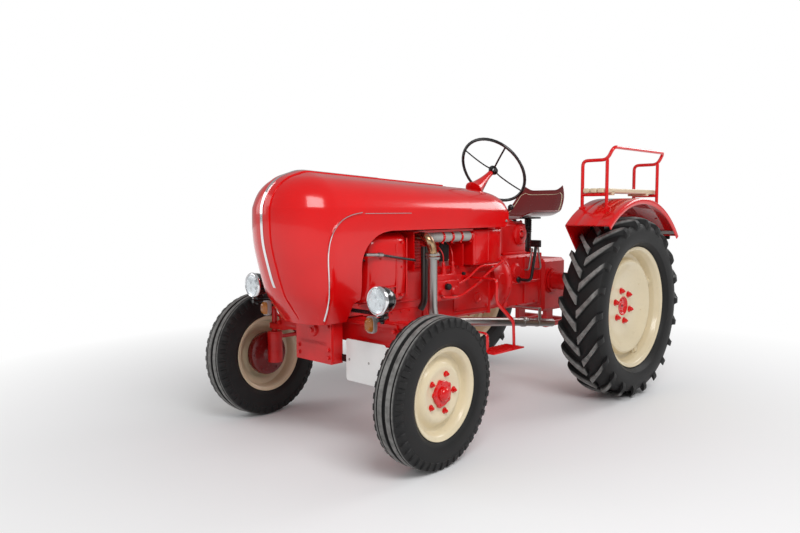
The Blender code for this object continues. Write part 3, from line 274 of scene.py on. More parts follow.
# One piece in the making: it is drawn from rings, bars, turned outlines and eased blocks
class Shape:
    def __init__(self, origin=(0, 0, 0), turn=None):
        self.mesh = bmesh.new()
        self.origin = Vector(origin)
        self.turned = turn

    def ring(self, points):
        return [self.mesh.verts.new(point) for point in points]

    def face(self, *verts):
        kept = []
        for vert in verts:
            if vert not in kept:
                kept.append(vert)
        if len(kept) > 2:
            self.mesh.faces.new(kept)

    def band(self, first, second, wrap=True):
        count = len(first)
        for place in range(count if wrap else count - 1):
            after = (place + 1) % count
            self.face(first[place], first[after], second[after], second[place])

    def loft(self, rings, wrap=True, caps=True, closed=False):
        rows = [self.ring(points) for points in rings]
        for first, second in zip(rows, rows[1:]):
            self.band(first, second, wrap)
        if closed:
            self.band(rows[-1], rows[0], wrap)
        elif caps:
            self.face(*rows[0])
            self.face(*rows[-1])
        return self

    # outline of (reach, height) points, closed, turned about the axis through place
    def turn(self, outline, place, axis, steps=48):
        lean = Vector((0, 0, 1)).rotation_difference(Vector(axis))
        stand = Matrix.Translation(at(place)) @ lean.to_matrix().to_4x4()
        rows = []
        for reach, height in outline:
            if reach < 0.00001:
                pole = self.mesh.verts.new(stand @ Vector((0, 0, height)))
                rows.append([pole] * steps)
            else:
                rows.append(self.ring(stand @ Vector((reach * math.cos(math.tau * step / steps),
                    reach * math.sin(math.tau * step / steps), height)) for step in range(steps)))
        for first, second in zip(rows, rows[1:] + rows[:1]):
            if first[0] != first[1] or second[0] != second[1]:
                self.band(first, second)
        return self

    # the same with the outline in millimetres
    def lathe(self, outline, place, axis, steps=48):
        return self.turn([(reach / 1000, height / 1000) for reach, height in outline], place, axis, steps)

    def bar(self, points, radius, sides=10, bend=0.0, wide=None):
        path = [at(point) for point in points]
        path = eased(path, bend) if bend else path
        wide = radius if wide is None else wide
        normal = None
        rings = []
        for place, point in enumerate(path):
            before = path[max(place - 1, 0)]
            after = path[min(place + 1, len(path) - 1)]
            heading = (after - before).normalized()
            if normal is None:
                normal = heading.cross((0, 0, 1) if abs(heading.z) < 0.9 else (1, 0, 0))
            normal = (normal - heading * normal.dot(heading)).normalized()
            other = heading.cross(normal)
            rings.append([point + normal * wide * math.cos(math.tau * (side + 0.5) / sides)
                + other * radius * math.sin(math.tau * (side + 0.5) / sides) for side in range(sides)])
        return self.loft(rings)

    def block(self, low, high, bevel=0.004, segments=2):
        low = at(low)
        high = at(high)
        made = bmesh.ops.create_cube(self.mesh, size=1)["verts"]
        for vert in made:
            vert.co = Vector(part * size for part, size in zip(vert.co, high - low)) + (low + high) / 2
        edges = {edge for vert in made for edge in vert.link_edges}
        bmesh.ops.bevel(self.mesh, geom=list(edges), offset=bevel, segments=segments, affect="EDGES",
            profile=0.5)
        return self

    # outline of (y, z) points between two x values
    def plate(self, outline, lowX, highX):
        return self.loft([[(x, y, z) for y, z in outline] for x in (lowX, highX)])

    def bolt(self, place, axis, radius=0.008, height=0.007, washer=True):
        start = at(place)
        along = Vector(axis).normalized()
        if washer:
            self.turn([(0, -0.002), (radius * 1.5, -0.002), (radius * 1.5, height * 0.2),
                (0, height * 0.2)], start, along, 12)
        self.turn([(0, 0), (radius, 0), (radius, height * 0.8), (radius * 0.82, height), (0, height)],
            start, along, 6)
        return self

    # bolts round a circle that faces along one of the three axes
    def boltCircle(self, centre, axis, reach, count, radius, height, turn=0.0):
        flat = [unit for unit in Matrix.Identity(3) if not unit.dot(axis)]
        for step in range(count):
            angle = math.tau * (step + turn) / count
            out = flat[0] * reach * math.cos(angle) + flat[1] * reach * math.sin(angle)
            self.bolt(at(centre) + out, axis, radius, height, False)
        return self

    def bolts(self, places, axis, radius, height):
        for place in places:
            self.bolt(place, axis, radius, height)
        return self

    def done(self, name, finish, *nodes, body="chassis", sharp=38):
        bmesh.ops.remove_doubles(self.mesh, verts=self.mesh.verts, dist=0.000002)
        bmesh.ops.recalc_face_normals(self.mesh, faces=self.mesh.faces)
        limit = math.radians(sharp)
        for face in self.mesh.faces:
            face.smooth = True
        for edge in self.mesh.edges:
            edge.smooth = len(edge.link_faces) == 2 and edge.calc_face_angle(0) < limit
        data = bpy.data.meshes.new(name)
        self.mesh.to_mesh(data)
        self.mesh.free()
        made = bpy.data.objects.new(name, data)
        bpy.context.scene.collection.objects.link(made)
        made.location = self.origin
        if self.turned is not None:
            made.rotation_mode = "QUATERNION"
            made.rotation_quaternion = self.turned
        data.materials.append(finishes[finish].material)
        bpy.context.view_layer.update()
        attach(made, body)
        if nodes:
            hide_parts(*nodes)
        return made


def eased(points, bend, steps=5):
    path = [points[0]]
    for before, corner, after in zip(points, points[1:], points[2:]):
        start = corner + (before - corner).normalized() * min(bend, (before - corner).length * 0.48)
        end = corner + (after - corner).normalized() * min(bend, (after - corner).length * 0.48)
        for step in range(steps + 1):
            share = step / steps
            path.append(start.lerp(corner, share).lerp(corner.lerp(end, share), share))
    path.append(points[-1])
    return path


# A smooth run through rows of numbers
def smoothRows(rows, steps):
    made = []
    for place in range(len(rows) - 1):
        four = [rows[min(max(place + shift, 0), len(rows) - 1)] for shift in (-1, 0, 1, 2)]
        for step in range(steps):
            share = step / steps
            made.append(tuple(0.5 * (2 * b + (c - a) * share + (2 * a - 5 * b + 4 * c - d) * share ** 2
                + (3 * b - a - 3 * c + d) * share ** 3) for a, b, c, d in zip(*four)))
    return made + [tuple(rows[-1])]


# Hood: levels are (height, half width, reach of the nose before its centre)
hood = {"levels": ((1.383, 0.0, 0.0), (1.378, 0.06, 0.045), (1.364, 0.11, 0.092), (1.345, 0.16, 0.142),
    (1.315, 0.203, 0.188), (1.275, 0.237, 0.224), (1.225, 0.26, 0.247), (1.185, 0.268, 0.254),
    (1.06, 0.27, 0.25), (0.95, 0.265, 0.226), (0.8, 0.245, 0.179), (0.73, 0.22, 0.136),
    (0.64, 0.17, 0.074)), "noseCentre": -0.216, "noseInset": 0.0105, "topInset": 0.006, "drop": 0.048,
    "crease": 1.185, "seam": 0.785, "rear": 1.14, "sheet": 0.004, "bandHalf": 0.05, "bandRise": 0.0062,
    "arch": ((-0.09, 0.6), (-0.09, 0.735), (-0.052, 0.752), (-0.06, 0.85), (-0.066, 0.942), (-0.04, 1.01),
    (0.015, 1.058), (0.07, 1.082), (0.134, 1.092)), "trim": ((-0.24, 0.665), (-0.262, 0.83),
    (-0.279, 0.986), (-0.262, 1.08), (-0.215, 1.14), (-0.15, 1.17), (-0.073, 1.184))}


def hoodDrop(y, z):
    share = max(0.0, (z - hood["crease"]) / (hood["levels"][0][0] - hood["crease"]))
    return z - (hood["drop"] * y + hood["topInset"]) * share


hoodRows = smoothRows(hood["levels"], 4)
for rowPlace, row in enumerate(hoodRows):
    hoodRows[rowPlace] = (row[0], max(row[1], 0.0), max(row[2] - hood["noseInset"] * min(row[2] / 0.1, 1),
        0.0))


# Half width and nose reach at a height
def hoodAt(z):
    for upper, lower in zip(hoodRows, hoodRows[1:]):
        if lower[0] <= z <= upper[0]:
            share = (upper[0] - z) / (upper[0] - lower[0])
            return tuple(upper[part] + (lower[part] - upper[part]) * share for part in (1, 2))
    return hoodRows[-1][1:] if z < 1 else (0.0, 0.0)


def hoodTop(x):
    for upper, lower in zip(hoodRows, hoodRows[1:]):
        if upper[1] <= abs(x) <= lower[1]:
            share = (abs(x) - upper[1]) / max(lower[1] - upper[1], 0.000001)
            return upper[0] + (lower[0] - upper[0]) * share
    return hoodRows[0][0]


# A point of the hood's middle strip: share 0 at the bottom of the nose, 1 where the top begins
def hoodMiddle(x, share, lift, lowZ):
    top = hoodTop(x)
    z = lowZ + (top - lowZ) * share
    halfWidth, reach = hoodAt(z)
    y = hood["noseCentre"] - reach * math.sqrt(max(0.0, 1 - (x / max(halfWidth, 0.00001)) ** 2))
    slope = Vector((0, -math.cos(share ** 6 * math.pi / 2), math.sin(share ** 6 * math.pi / 2)))
    return spot(x, y, hoodDrop(y, z)) + slope * lift


# The side of the hood, at a distance behind the axle and a height
def hoodSide(side, y, z, lift=0.0):
    halfWidth, reach = hoodAt(z)
    if y >= hood["noseCentre"]:
        return spot(side * (halfWidth + lift), y, hoodDrop(y, z))
    turn = math.asin(min(1.0, (hood["noseCentre"] - y) / reach))
    return spot(side * (halfWidth + lift) * math.cos(turn), y - lift * math.sin(turn), hoodDrop(y, z))


def hoodStrip(shape, halfWidth, lift, sink, lowZ, endY, columns=6, nose=40):
    xs = [halfWidth * (2 * column / columns - 1) for column in range(columns + 1)]
    rings = []
    for step in range(nose + 1):
        share = math.sin(math.pi / 2 * step / nose) ** 0.8
        upper = [hoodMiddle(x, share, lift * min(1.0, step / 2 + 0.3), lowZ) for x in xs]
        lower = [hoodMiddle(x, share, sink, lowZ) for x in reversed(xs)]
        rings.append(upper + lower)
    steps = 24
    for step in range(1, steps + 1):
        y = hood["noseCentre"] + (endY - hood["noseCentre"]) * step / steps
        tops = [spot(x, y, hoodDrop(y, hoodTop(x))) for x in xs]
        ease = min(1.0, (steps - step) / 1.5 + 0.3) if endY < 0.7 else 1.0
        rings.append([top + Vector((0, 0, lift * ease)) for top in tops]
            + [top + Vector((0, 0, sink)) for top in reversed(tops)])
    return shape.loft(rings)


def makeHood():
    stations = [hood["rear"] - 0.02 * step for step in range(4)]
    stations += [hood["seam"] + (1.08 - hood["seam"]) * (1 - step / 6) for step in range(1, 6)]
    stations += [hood["seam"] * (1 - step / 14) + hood["noseCentre"] * step / 14 for step in range(14)]
    turns = [math.pi / 2 * step / 26 for step in range(27)]
    shape = bmesh.new()
    grid = []
    for z, halfWidth, reach in hoodRows:
        row = [spot(halfWidth, y, hoodDrop(y, z)) for y in stations]
        for turn in turns:
            y = hood["noseCentre"] - reach * math.sin(turn)
            x = halfWidth * math.cos(turn) if turn < math.pi / 2 - 0.0001 else 0.0
            row.append(spot(x, y, hoodDrop(y, z)))
        grid.append([shape.verts.new(point) for point in row])
    seamPlace = next(place for place, y in enumerate(stations) if y <= hood["seam"] + 0.0001)
    for (z, _, _), upper, lower in zip(hoodRows, grid, grid[1:]):
        start = seamPlace if z > hood["crease"] + 0.0001 else 0
        for place in range(start, len(upper) - 1):
            corners = (upper[place], upper[place + 1], lower[place + 1], lower[place])
            if len(set(vert.co.to_tuple(6) for vert in corners)) == 4:
                shape.faces.new(corners)
            else:
                shape.faces.new(corners[:3] if (corners[3].co
                    - corners[0].co).length < 0.000002 else corners)
    bmesh.ops.remove_doubles(shape, verts=shape.verts, dist=0.000005)
    bmesh.ops.dissolve_degenerate(shape, edges=shape.edges, dist=0.000005)
    loose = [vert for vert in shape.verts if not vert.link_faces]
    bmesh.ops.delete(shape, geom=loose, context="VERTS")
    copied = bmesh.ops.duplicate(shape, geom=shape.verts[:] + shape.edges[:] + shape.faces[:])["geom"]
    for item in copied:
        if isinstance(item, bmesh.types.BMVert):
            item.co.x = -item.co.x
    bmesh.ops.remove_doubles(shape, verts=shape.verts, dist=0.00001)
    bmesh.ops.recalc_face_normals(shape, faces=shape.faces)
    front = min(shape.faces, key=lambda face: face.calc_center_median().y)
    if front.normal.y > 0:
        bmesh.ops.reverse_faces(shape, faces=shape.faces)
    data = bpy.data.meshes.new("hoodSkin")
    shape.to_mesh(data)
    shape.free()
    skin = bpy.data.objects.new("hoodSkin", data)
    bpy.context.scene.collection.objects.link(skin)
    sheet = skin.modifiers.new("sheet", "SOLIDIFY")
    sheet.thickness = hood["sheet"]
    sheet.offset = -1
    cutter = Shape()
    arch = smoothRows(hood["arch"][3:], 6)
    outline = list(hood["arch"][:3]) + [tuple(point) for point in arch]
    corner = [(1.14 - 0.055 * (1 - math.sin(math.pi / 2 * step / 6)),
        1.147 - 0.055 * math.cos(math.pi / 2 * step / 6)) for step in range(7)]
    outline += corner + [(1.25, 1.15), (1.25, 0.55), (-0.09, 0.55)]
    cutter.plate([(frontAxleY + y, z) for y, z in outline], -0.4, 0.4)
    bmesh.ops.recalc_face_normals(cutter.mesh, faces=cutter.mesh.faces)
    cutData = bpy.data.meshes.new("archCutter")
    cutter.mesh.to_mesh(cutData)
    cutter.mesh.free()
    tool = bpy.data.objects.new("archCutter", cutData)
    bpy.context.scene.collection.objects.link(tool)
    cut = skin.modifiers.new("arch", "BOOLEAN")
    cut.operation = "DIFFERENCE"
    cut.object = tool
    cut.solver = "EXACT"
    bpy.context.view_layer.update()
    seen = bpy.context.evaluated_depsgraph_get()
    solid = bpy.data.meshes.new_from_object(skin.evaluated_get(seen))
    for spare in (skin, tool):
        bpy.data.objects.remove(spare, do_unlink=True)
    shape = Shape()
    shape.mesh.from_mesh(solid)
    bpy.data.meshes.remove(solid)
    shape.done("hoodSkin", "red", "hood", body="hood", sharp=50)
    shape = hoodStrip(Shape(), hood["bandHalf"], hood["bandRise"], -0.003, 0.66, hood["seam"] - 0.002)
    shape.done("hoodBand", "red", body="hood")
    shape = hoodStrip(Shape(), 0.0095, 0.0094, 0.001, 0.79, 0.31, columns=4)
    shape.done("hoodStrip", "chrome", body="hood")


hoodTurned = {"fastener": ((0, 7), (6, 5), (9, 0), (9, -3), (0, -3)),
    "hingeEnd": ((0, 12), (12, 10), (14, 2), (14, -4), (0, -4))}


def makeHoodTrim():
    shape = Shape()
    for side in (-1, 1):
        path = [hoodSide(side, y, z, 0.0025) for y, z in smoothRows(hood["trim"], 6)]
        shape.bar(path, 0.0092, 8, wide=0.0042)
        line = [hoodSide(side, -0.05 + 0.33 * step / 12, 1.18, 0.0012) for step in range(13)]
        shape.bar(line, 0.0022, 6)
    shape.done("hoodTrim", "chrome", body="hood")
    shape = Shape()
    for side in (-1, 1):
        shape.lathe(hoodTurned["fastener"], hoodSide(side, 1.115, 1.128), (side, 0, 0), 16)
    shape.done("hoodFasteners", "steel", body="hood")
    shape = Shape()
    hinge = spot(0, -0.235, 0.7)
    shape.bar([hinge + Vector((-0.1915, 0, 0)), hinge + Vector((0.1915, 0, 0))], 0.009, 16)
    for side in (-1, 1):
        shape.lathe(hoodTurned["hingeEnd"], hinge + Vector((side * 0.18, 0, 0)), (side, 0, 0), 16)
    shape.done("hingeBar", "red", body="hood")


makeHood()
makeHoodTrim()
print("hood made")


# Wheels are drawn about their own axle: x outwards, angles from the front upwards
def wheelPoint(side, across, reach, angle):
    return Vector((side * across, -reach * math.cos(angle), reach * math.sin(angle)))


def wheelRings(shape, side, outline, steps):
    shape.loft([[wheelPoint(side, across, reach, math.tau * step / steps) for step in range(steps)]
        for across, reach in outline], closed=True)


rearWheel = {"side": 0.66, "lugs": 22, "steps": 88, "lean": 0.3, "lugHalf": 0.0165,
    "carcass": ((0.0885, 0.3653), (0.0885, 0.3862), (0.102, 0.392), (0.118, 0.402), (0.1265, 0.412),
    (0.13, 0.414), (0.1315, 0.419), (0.136, 0.44), (0.1375, 0.462), (0.1365, 0.48), (0.1335, 0.497),
    (0.1275, 0.514), (0.116, 0.529), (0.09, 0.5385), (0.05, 0.543), (0.0, 0.5445)),
    "lug": ((0.004, 0.5745, 0.0, 0.54), (0.04, 0.5748, 0.04, 0.539), (0.078, 0.5725, 0.078, 0.536),
    (0.108, 0.5665, 0.106, 0.528), (0.128, 0.555, 0.122, 0.518), (0.139, 0.539, 0.13, 0.503),
    (0.1422, 0.52, 0.133, 0.494), (0.14, 0.502, 0.134, 0.49)),
    "rim": ((0.01, 0.062), (0.006, 0.08), (0.005, 0.15), (0.01, 0.19), (0.022, 0.228), (0.038, 0.256),
    (0.049, 0.274), (0.0525, 0.286), (0.049, 0.296), (0.04, 0.3025), (0.02, 0.3045), (0.006, 0.306),
    (0.002, 0.314), (0.004, 0.33), (0.012, 0.342), (0.03, 0.348), (0.052, 0.35), (0.062, 0.352),
    (0.068, 0.357), (0.082, 0.36), (0.088, 0.364), (0.092, 0.372), (0.097, 0.378), (0.0998, 0.3815),
    (0.0985, 0.3845), (0.095, 0.385), (0.093, 0.38), (0.09, 0.3654), (-0.09, 0.3654), (-0.093, 0.38),
    (-0.095, 0.385), (-0.0985, 0.3845), (-0.0998, 0.3815), (-0.097, 0.378), (-0.092, 0.366),
    (-0.08, 0.357), (-0.06, 0.352), (0.0, 0.345), (-0.004, 0.312), (0.0, 0.302), (0.03, 0.294),
    (0.03, 0.275), (0.01, 0.235), (-0.006, 0.15), (-0.006, 0.082), (-0.098, 0.08), (-0.098, 0.052),
    (-0.02, 0.05), (-0.02, 0.0555)), "hub": ((0.004, 0.0), (0.004, 0.018), (0.0, 0.022), (0.0, 0.046),
    (0.01, 0.054), (0.012, 0.06), (0.0085, 0.0635), (-0.015, 0.0635), (-0.015, 0.004))}


def makeRearTyre(side, name):
    centre = Vector((side * rearWheel["side"], rearAxleY, rearAxleZ))
    shape = Shape(centre)
    half = rearWheel["carcass"]
    outline = list(half) + [(-across, reach) for across, reach in reversed(half[:-1])]
    wheelRings(shape, side, outline, rearWheel["steps"])
    path = smoothRows(rearWheel["lug"], 2)
    pitch = math.tau / rearWheel["lugs"]
    for lug in range(rearWheel["lugs"]):
        for flank in (-1, 1):
            start = pitch * (lug + (0.0 if flank > 0 else 0.5))
            rings = []
            for place, (across, reach, lowAcross, lowReach) in enumerate(path):
                share = place / (len(path) - 1)
                angle = start + rearWheel["lean"] * min(across, 0.128) / 0.128 * (0.85 + 0.15 * share)
                wide = rearWheel["lugHalf"] * (1.35 - 0.45 * min(share * 5, 1) + 0.25 * share) / 0.5725
                foot = wide * 1.45
                rings.append([wheelPoint(1, flank * across, reach, angle - wide),
                    wheelPoint(1, flank * across, reach, angle + wide),
                    wheelPoint(1, flank * lowAcross, lowReach, angle + foot),
                    wheelPoint(1, flank * lowAcross, lowReach, angle - foot)])
            shape.loft(rings)
    shape.done("rearTyre" + name, "tread", "rear_tyre_" + name.lower(), body="rear_wheel_" + name.lower(),
        sharp=32)


rearTurned = {"rivet": ((0, 4), (3.5, 3), (6, 0), (6, -6), (0, -6)),
    "stud": ((0, 30), (5, 29), (6.5, 26), (6.5, 10), (0, 10))}


def makeRearRim(side, name):
    centre = Vector((side * rearWheel["side"], rearAxleY, rearAxleZ))
    body = "rear_wheel_" + name.lower()
    shape = Shape(centre)
    wheelRings(shape, side, rearWheel["rim"], rearWheel["steps"])
    for turn in range(8):
        angle = math.tau * (turn + 0.25) / 8
        middle = wheelPoint(side, 0.0235, 0.232, angle)
        shape.lathe(rearTurned["rivet"], middle, (side, 0, 0), 12)
    for turn in range(4):
        angle = math.tau * (turn + 0.5) / 4 + 0.35
        for reach, wide, low, high in ((0.327, 0.03, 0.004, 0.03), (0.322, 0.017, 0.025, 0.04)):
            outline = [(0.019, wide), (-0.019, wide), (-0.023, 0), (-0.019, -wide), (0.019, -wide),
                (0.023, 0)]
            rings = []
            for across in (low, high - 0.003, high):
                ease = 0.85 if across == high else 1.0
                rings.append([wheelPoint(side, across, reach + rise * ease, angle + along * ease / reach)
                    for rise, along in outline])
            shape.loft(rings)
    shape.done("rearRim" + name, "cream", "rear_rim_" + name.lower(), body=body, sharp=34)
    shape = Shape(centre)
    wheelRings(shape, side, rearWheel["hub"], 40)
    for turn in range(6):
        angle = math.tau * turn / 6 + 0.3
        shape.bolt(wheelPoint(side, 0.006, 0.1, angle), (side, 0, 0), 0.0145, 0.022)
        shape.lathe(rearTurned["stud"], wheelPoint(side, 0.006, 0.1, angle), (side, 0, 0), 12)
    for turn in range(4):
        shape.bolt(wheelPoint(side, 0.001, 0.034, math.tau * turn / 4), (side, 0, 0), 0.006, 0.005)
    shape.done("rearHub" + name, "red", body=body)


frontWheel = {"steps": 80, "camber": math.radians(2.5), "steer": math.radians(3), "notches": 44,
    "tyre": ((0.0535, 0.2003), (0.0535, 0.2215), (0.061, 0.2235), (0.068, 0.231), (0.0735, 0.24),
    (0.075, 0.2425), (0.0765, 0.2465), (0.0778, 0.262), (0.0779, 0.28), (0.0768, 0.298), (0.0742, 0.315),
    (0.07, 0.33), (0.0655, 0.3405), (0.0635, 0.3475), (0.061, 0.3505), (0.0465, 0.3555), (0.044, 0.3548),
    (0.0405, 0.3455), (0.038, 0.3455), (0.035, 0.3562), (0.033, 0.3568), (0.0135, 0.3569),
    (0.0115, 0.3562), (0.008, 0.346), (0.0, 0.3458)), "rim": ((0.036, 0.058), (0.0345, 0.072),
    (0.035, 0.095), (0.04, 0.112), (0.042, 0.124), (0.038, 0.136), (0.028, 0.148), (0.016, 0.158),
    (0.01, 0.17), (0.011, 0.182), (0.02, 0.1875), (0.036, 0.1885), (0.04, 0.1905), (0.047, 0.194),
    (0.0525, 0.197), (0.056, 0.203), (0.059, 0.211), (0.0622, 0.2165), (0.0615, 0.2195), (0.0575, 0.22),
    (0.056, 0.21), (0.055, 0.2004), (-0.055, 0.2004), (-0.056, 0.21), (-0.0575, 0.22), (-0.0615, 0.2195),
    (-0.0622, 0.2165), (-0.056, 0.203), (-0.048, 0.195), (-0.03, 0.19), (0.0, 0.186), (0.003, 0.172),
    (0.008, 0.155), (0.022, 0.142), (0.032, 0.13), (0.034, 0.118), (0.027, 0.095), (0.027, 0.056)),
    "hub": ((0.0745, 0.0), (0.0742, 0.01), (0.0715, 0.02), (0.065, 0.0275), (0.06, 0.0295),
    (0.0585, 0.034), (0.056, 0.0345), (0.047, 0.0355), (0.042, 0.04), (0.042, 0.05), (0.025, 0.052),
    (-0.02, 0.046), (-0.05, 0.045), (-0.054, 0.042), (-0.054, 0.021), (0.045, 0.021), (0.046, 0.004))}


def frontFrame(side):
    body = "left" if side > 0 else "right"
    low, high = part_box("front_tyre_" + body)
    steer = frontWheel["steer"]
    axis = Vector((side * math.cos(steer) * math.cos(frontWheel["camber"]),
        side * math.sin(steer) * math.cos(frontWheel["camber"]), -math.sin(frontWheel["camber"])))
    centre = (Vector(low) + Vector(high)) / 2
    return centre, Vector((side, 0, 0)).rotation_difference(axis)


frontTurned = {"axleEnd": ((0, 74.5), (10, 74.2), (10, 60), (0, 60)),
    "stud": ((0, 22), (3.5, 21.5), (5, 19), (5, 10), (0, 10))}


def makeFrontWheel(side, name):
    centre, turn = frontFrame(side)
    body = "front_wheel_" + name.lower()
    shape = Shape(centre, turn)
    half = frontWheel["tyre"]
    outline = list(half) + [(-across, reach) for across, reach in reversed(half[:-1])]
    wheelRings(shape, side, outline, frontWheel["steps"])
    for notch in range(frontWheel["notches"]):
        for flank in (-1, 1):
            angle = math.tau * (notch + (0.25 if flank > 0 else 0.75)) / frontWheel["notches"]
            rings = []
            for across, reach, low in ((0.059, 0.3522, 0.345), (0.067, 0.35, 0.336),
                    (0.0735, 0.341, 0.328), (0.0772, 0.327, 0.316), (0.0778, 0.313, 0.308)):
                wide = 0.0125 / reach
                rings.append([wheelPoint(side, flank * across, reach, angle - wide),
                    wheelPoint(side, flank * across, reach, angle + wide),
                    wheelPoint(side, flank * (across - 0.006), low, angle + wide * 1.5),
                    wheelPoint(side, flank * (across - 0.006), low, angle - wide * 1.5)])
            shape.loft(rings)
    shape.done("frontTyre" + name, "ribs", "front_tyre_" + name.lower(), body=body, sharp=32)
    shape = Shape(centre, turn)
    wheelRings(shape, side, frontWheel["rim"], frontWheel["steps"])
    shape.done("frontRim" + name, "cream", "front_rim_" + name.lower(), body=body, sharp=34)
    shape = Shape(centre, turn)
    wheelRings(shape, side, frontWheel["hub"], 40)
    shape.lathe(frontTurned["axleEnd"], Vector(), (side, 0, 0), 20)
    lobes = 60
    rings = []
    for across, size in ((0.0342, 1.0), (0.047, 1.0), (0.049, 0.96)):
        ring = []
        for step in range(lobes):
            angle = math.tau * step / lobes
            reach = (0.06 + 0.008 * max(0.0, math.cos(5 * angle)) ** 1.5) * size
            ring.append(wheelPoint(side, across, reach, angle))
        rings.append(ring)
    shape.loft(rings)
    for lobe in range(5):
        angle = math.tau * lobe / 5
        shape.bolt(wheelPoint(side, 0.035, 0.092, angle + math.pi / 5), (side, 0, 0), 0.0105, 0.016)
        shape.lathe(frontTurned["stud"], wheelPoint(side, 0.035, 0.092, angle + math.pi / 5), (side, 0, 0),
            12)
        shape.bolt(wheelPoint(side, 0.0475, 0.054, angle), (side, 0, 0), 0.005, 0.005)
    shape.done("frontHub" + name, "red", body=body)


for wheelSide, wheelName in sides:
    makeRearTyre(wheelSide, wheelName)
    makeRearRim(wheelSide, wheelName)
    makeFrontWheel(wheelSide, wheelName)
print("wheels made")
# Steering and front axle
front = {"kingpin": 0.56, "beamLow": 0.535, "beamHigh": 0.65, "eye": 0.03, "flange": 0.016}


def makeFrontAxle():
    low = front["beamLow"]
    high = front["beamHigh"]
    shape = Shape()
    rings = []
    for x, top, bottom, deep in ((-0.47, high, low, 0.038), (-0.44, high, low, 0.044),
            (-0.2, high - 0.004, low + 0.004, 0.045), (-0.15, high, low, 0.045), (0.15, high, low, 0.045),
            (0.2, high - 0.004, low + 0.004, 0.045), (0.44, high, low, 0.044), (0.47, high, low, 0.038)):
        flange = front["flange"]
        web = deep - 0.014 if 0.18 < abs(x) < 0.43 else deep - 0.005
        section = ((-deep, top), (deep, top), (deep, top - flange), (web, top - flange - 0.008),
            (web, bottom + flange + 0.008), (deep, bottom + flange), (deep, bottom), (-deep, bottom),
            (-deep, bottom + flange), (-web, bottom + flange + 0.008), (-web, top - flange - 0.008),
            (-deep, top - flange))
        rings.append([spot(x, y, z) for y, z in section])
    shape.loft(rings)
    turns = [math.pi * step / 10 - math.pi / 2 for step in range(11)]
    for side in (-1, 1):
        for middle in (low - 0.002, high - 0.002):
            rings = []
            for z, ease in ((middle - 0.015, 0.94), (middle - 0.012, 1.0), (middle + 0.012, 1.0),
                    (middle + 0.015, 0.94)):
                ring = [spot(side * (front["kingpin"] + front["eye"] * math.cos(turn) * ease),
                    front["eye"] * math.sin(turn) * ease, z) for turn in turns]
                ring += [spot(side * 0.445, 0.027 * ease, z), spot(side * 0.445, -0.027 * ease, z)]
                rings.append(ring)
            shape.loft(rings)
        shape.bolts([(side * 0.455, -0.046, height) for height in (0.565, 0.615)], (0, -1, 0), 0.009, 0.007)
    shape.done("frontBeam", "castRed", "front_axle")


knuckle = {"housing": ((0, 4), (36, 4), (42, 0), (43.5, -6), (43.5, -30), (41.5, -36), (40.5, -100),
    (43, -106), (43, -150), (38, -165), (24, -176), (0, -178)),
    "cap": ((0, 14), (10, 13), (21, 8), (23, 1), (23, -4), (0, -4)),
    "pin": ((0, 34), (16, 34), (16, -34), (0, -34)), "backing": ((0, -10), (112, -10), (122, -16),
    (125, -24), (125, -52), (121, -58), (95, -58.5), (88, -62), (50, -66), (34, -78), (28, -100),
    (0, -100))}


def makeKnuckle(side, name):
    x = side * front["kingpin"]
    centre, turn = frontFrame(side)
    shape = Shape()
    shape.lathe(knuckle["housing"], (x, 0, 0.492), (0, 0, 1), 40)
    shape.lathe(knuckle["cap"], (x, 0, 0.664), (0, 0, 1), 28)
    shape.lathe(knuckle["pin"], (x, 0, 0.59), (0, 0, 1), 24)
    shape.boltCircle((x, 0, 0.4955), (0, 0, 1), 0.03, 6, 0.0045, 0.005)
    shape.bar([(x, 0, 0.47), (x - side * 0.004, 0.06, 0.462), (x, 0.155, 0.462)], 0.011, 10, 0.03, 0.014)
    shape.done("knuckleHousing" + name, "castRed", body="knuckle_" + name.lower())
    shape = Shape(centre, turn)
    shape.lathe(knuckle["backing"], Vector(), (side, 0, 0), 56)
    for step in range(6):
        angle = math.tau * step / 6
        shape.bolt(wheelPoint(side, -0.0585, 0.105, angle), (-side, 0, 0), 0.006, 0.005, False)
    shape.done("brakeBacking" + name, "darkRed", body="knuckle_" + name.lower())


support = {"boss": ((0, 12), (30, 12), (34, 6), (36, -1), (0, -1))}


def makeSupport():
    shape = Shape()
    for side in (-1, 1):
        shape.bolts([(side * 0.118, -0.1652, z) for z in (0.462, 0.5, 0.62, 0.645)], (0, -1, 0), 0.01,
            0.009)
        shape.bar([(side * 0.141, -0.152, 0.66), (side * 0.141, -0.152, 0.44)], 0.004, 8, wide=0.008)
        shape.bar([(side * 0.141, 0.02, 0.712), (side * 0.141, 0.19, 0.712)], 0.006, 8, wide=0.004)
        shape.bolts([(side * 0.1405, y, 0.688) for y in (-0.12, -0.02, 0.1, 0.175)], (side, 0, 0), 0.009,
            0.007)
    shape.lathe(support["boss"], (0, -0.166, 0.5925), (0, -1, 0), 36)
    shape.bolt((0, -0.178, 0.5925), (0, -1, 0), 0.014, 0.009)
    shape.loft([[spot(x, y, z) for x, y in ((-0.105, -0.165), (0.105, -0.165), (0.105, -0.16),
        (-0.105, -0.16))] for z in (0.52, 0.538)])
    shape.done("supportBolts", "castRed")


# Engine side: shroud, panels, hose, pump and pipes, all on the left unless doubled
engine = {"half": 0.15, "top": 0.87, "hoseZ": 1.045, "hoseX": 0.205}


# A cosine or sine pushed outwards, which turns a circle into a rounded rectangle
def squarer(value, power):
    return math.copysign(abs(value) ** power, value)


def softBox(shape, centre, sections, power, count):
    rings = []
    for z, halfX, halfY in sections:
        ring = []
        for step in range(count):
            angle = math.tau * (step + 0.5) / count
            ring.append(centre + Vector((halfX * squarer(math.cos(angle), 2 / power),
                halfY * squarer(math.sin(angle), 2 / power), z)))
        rings.append(ring)
    return shape.loft(rings)


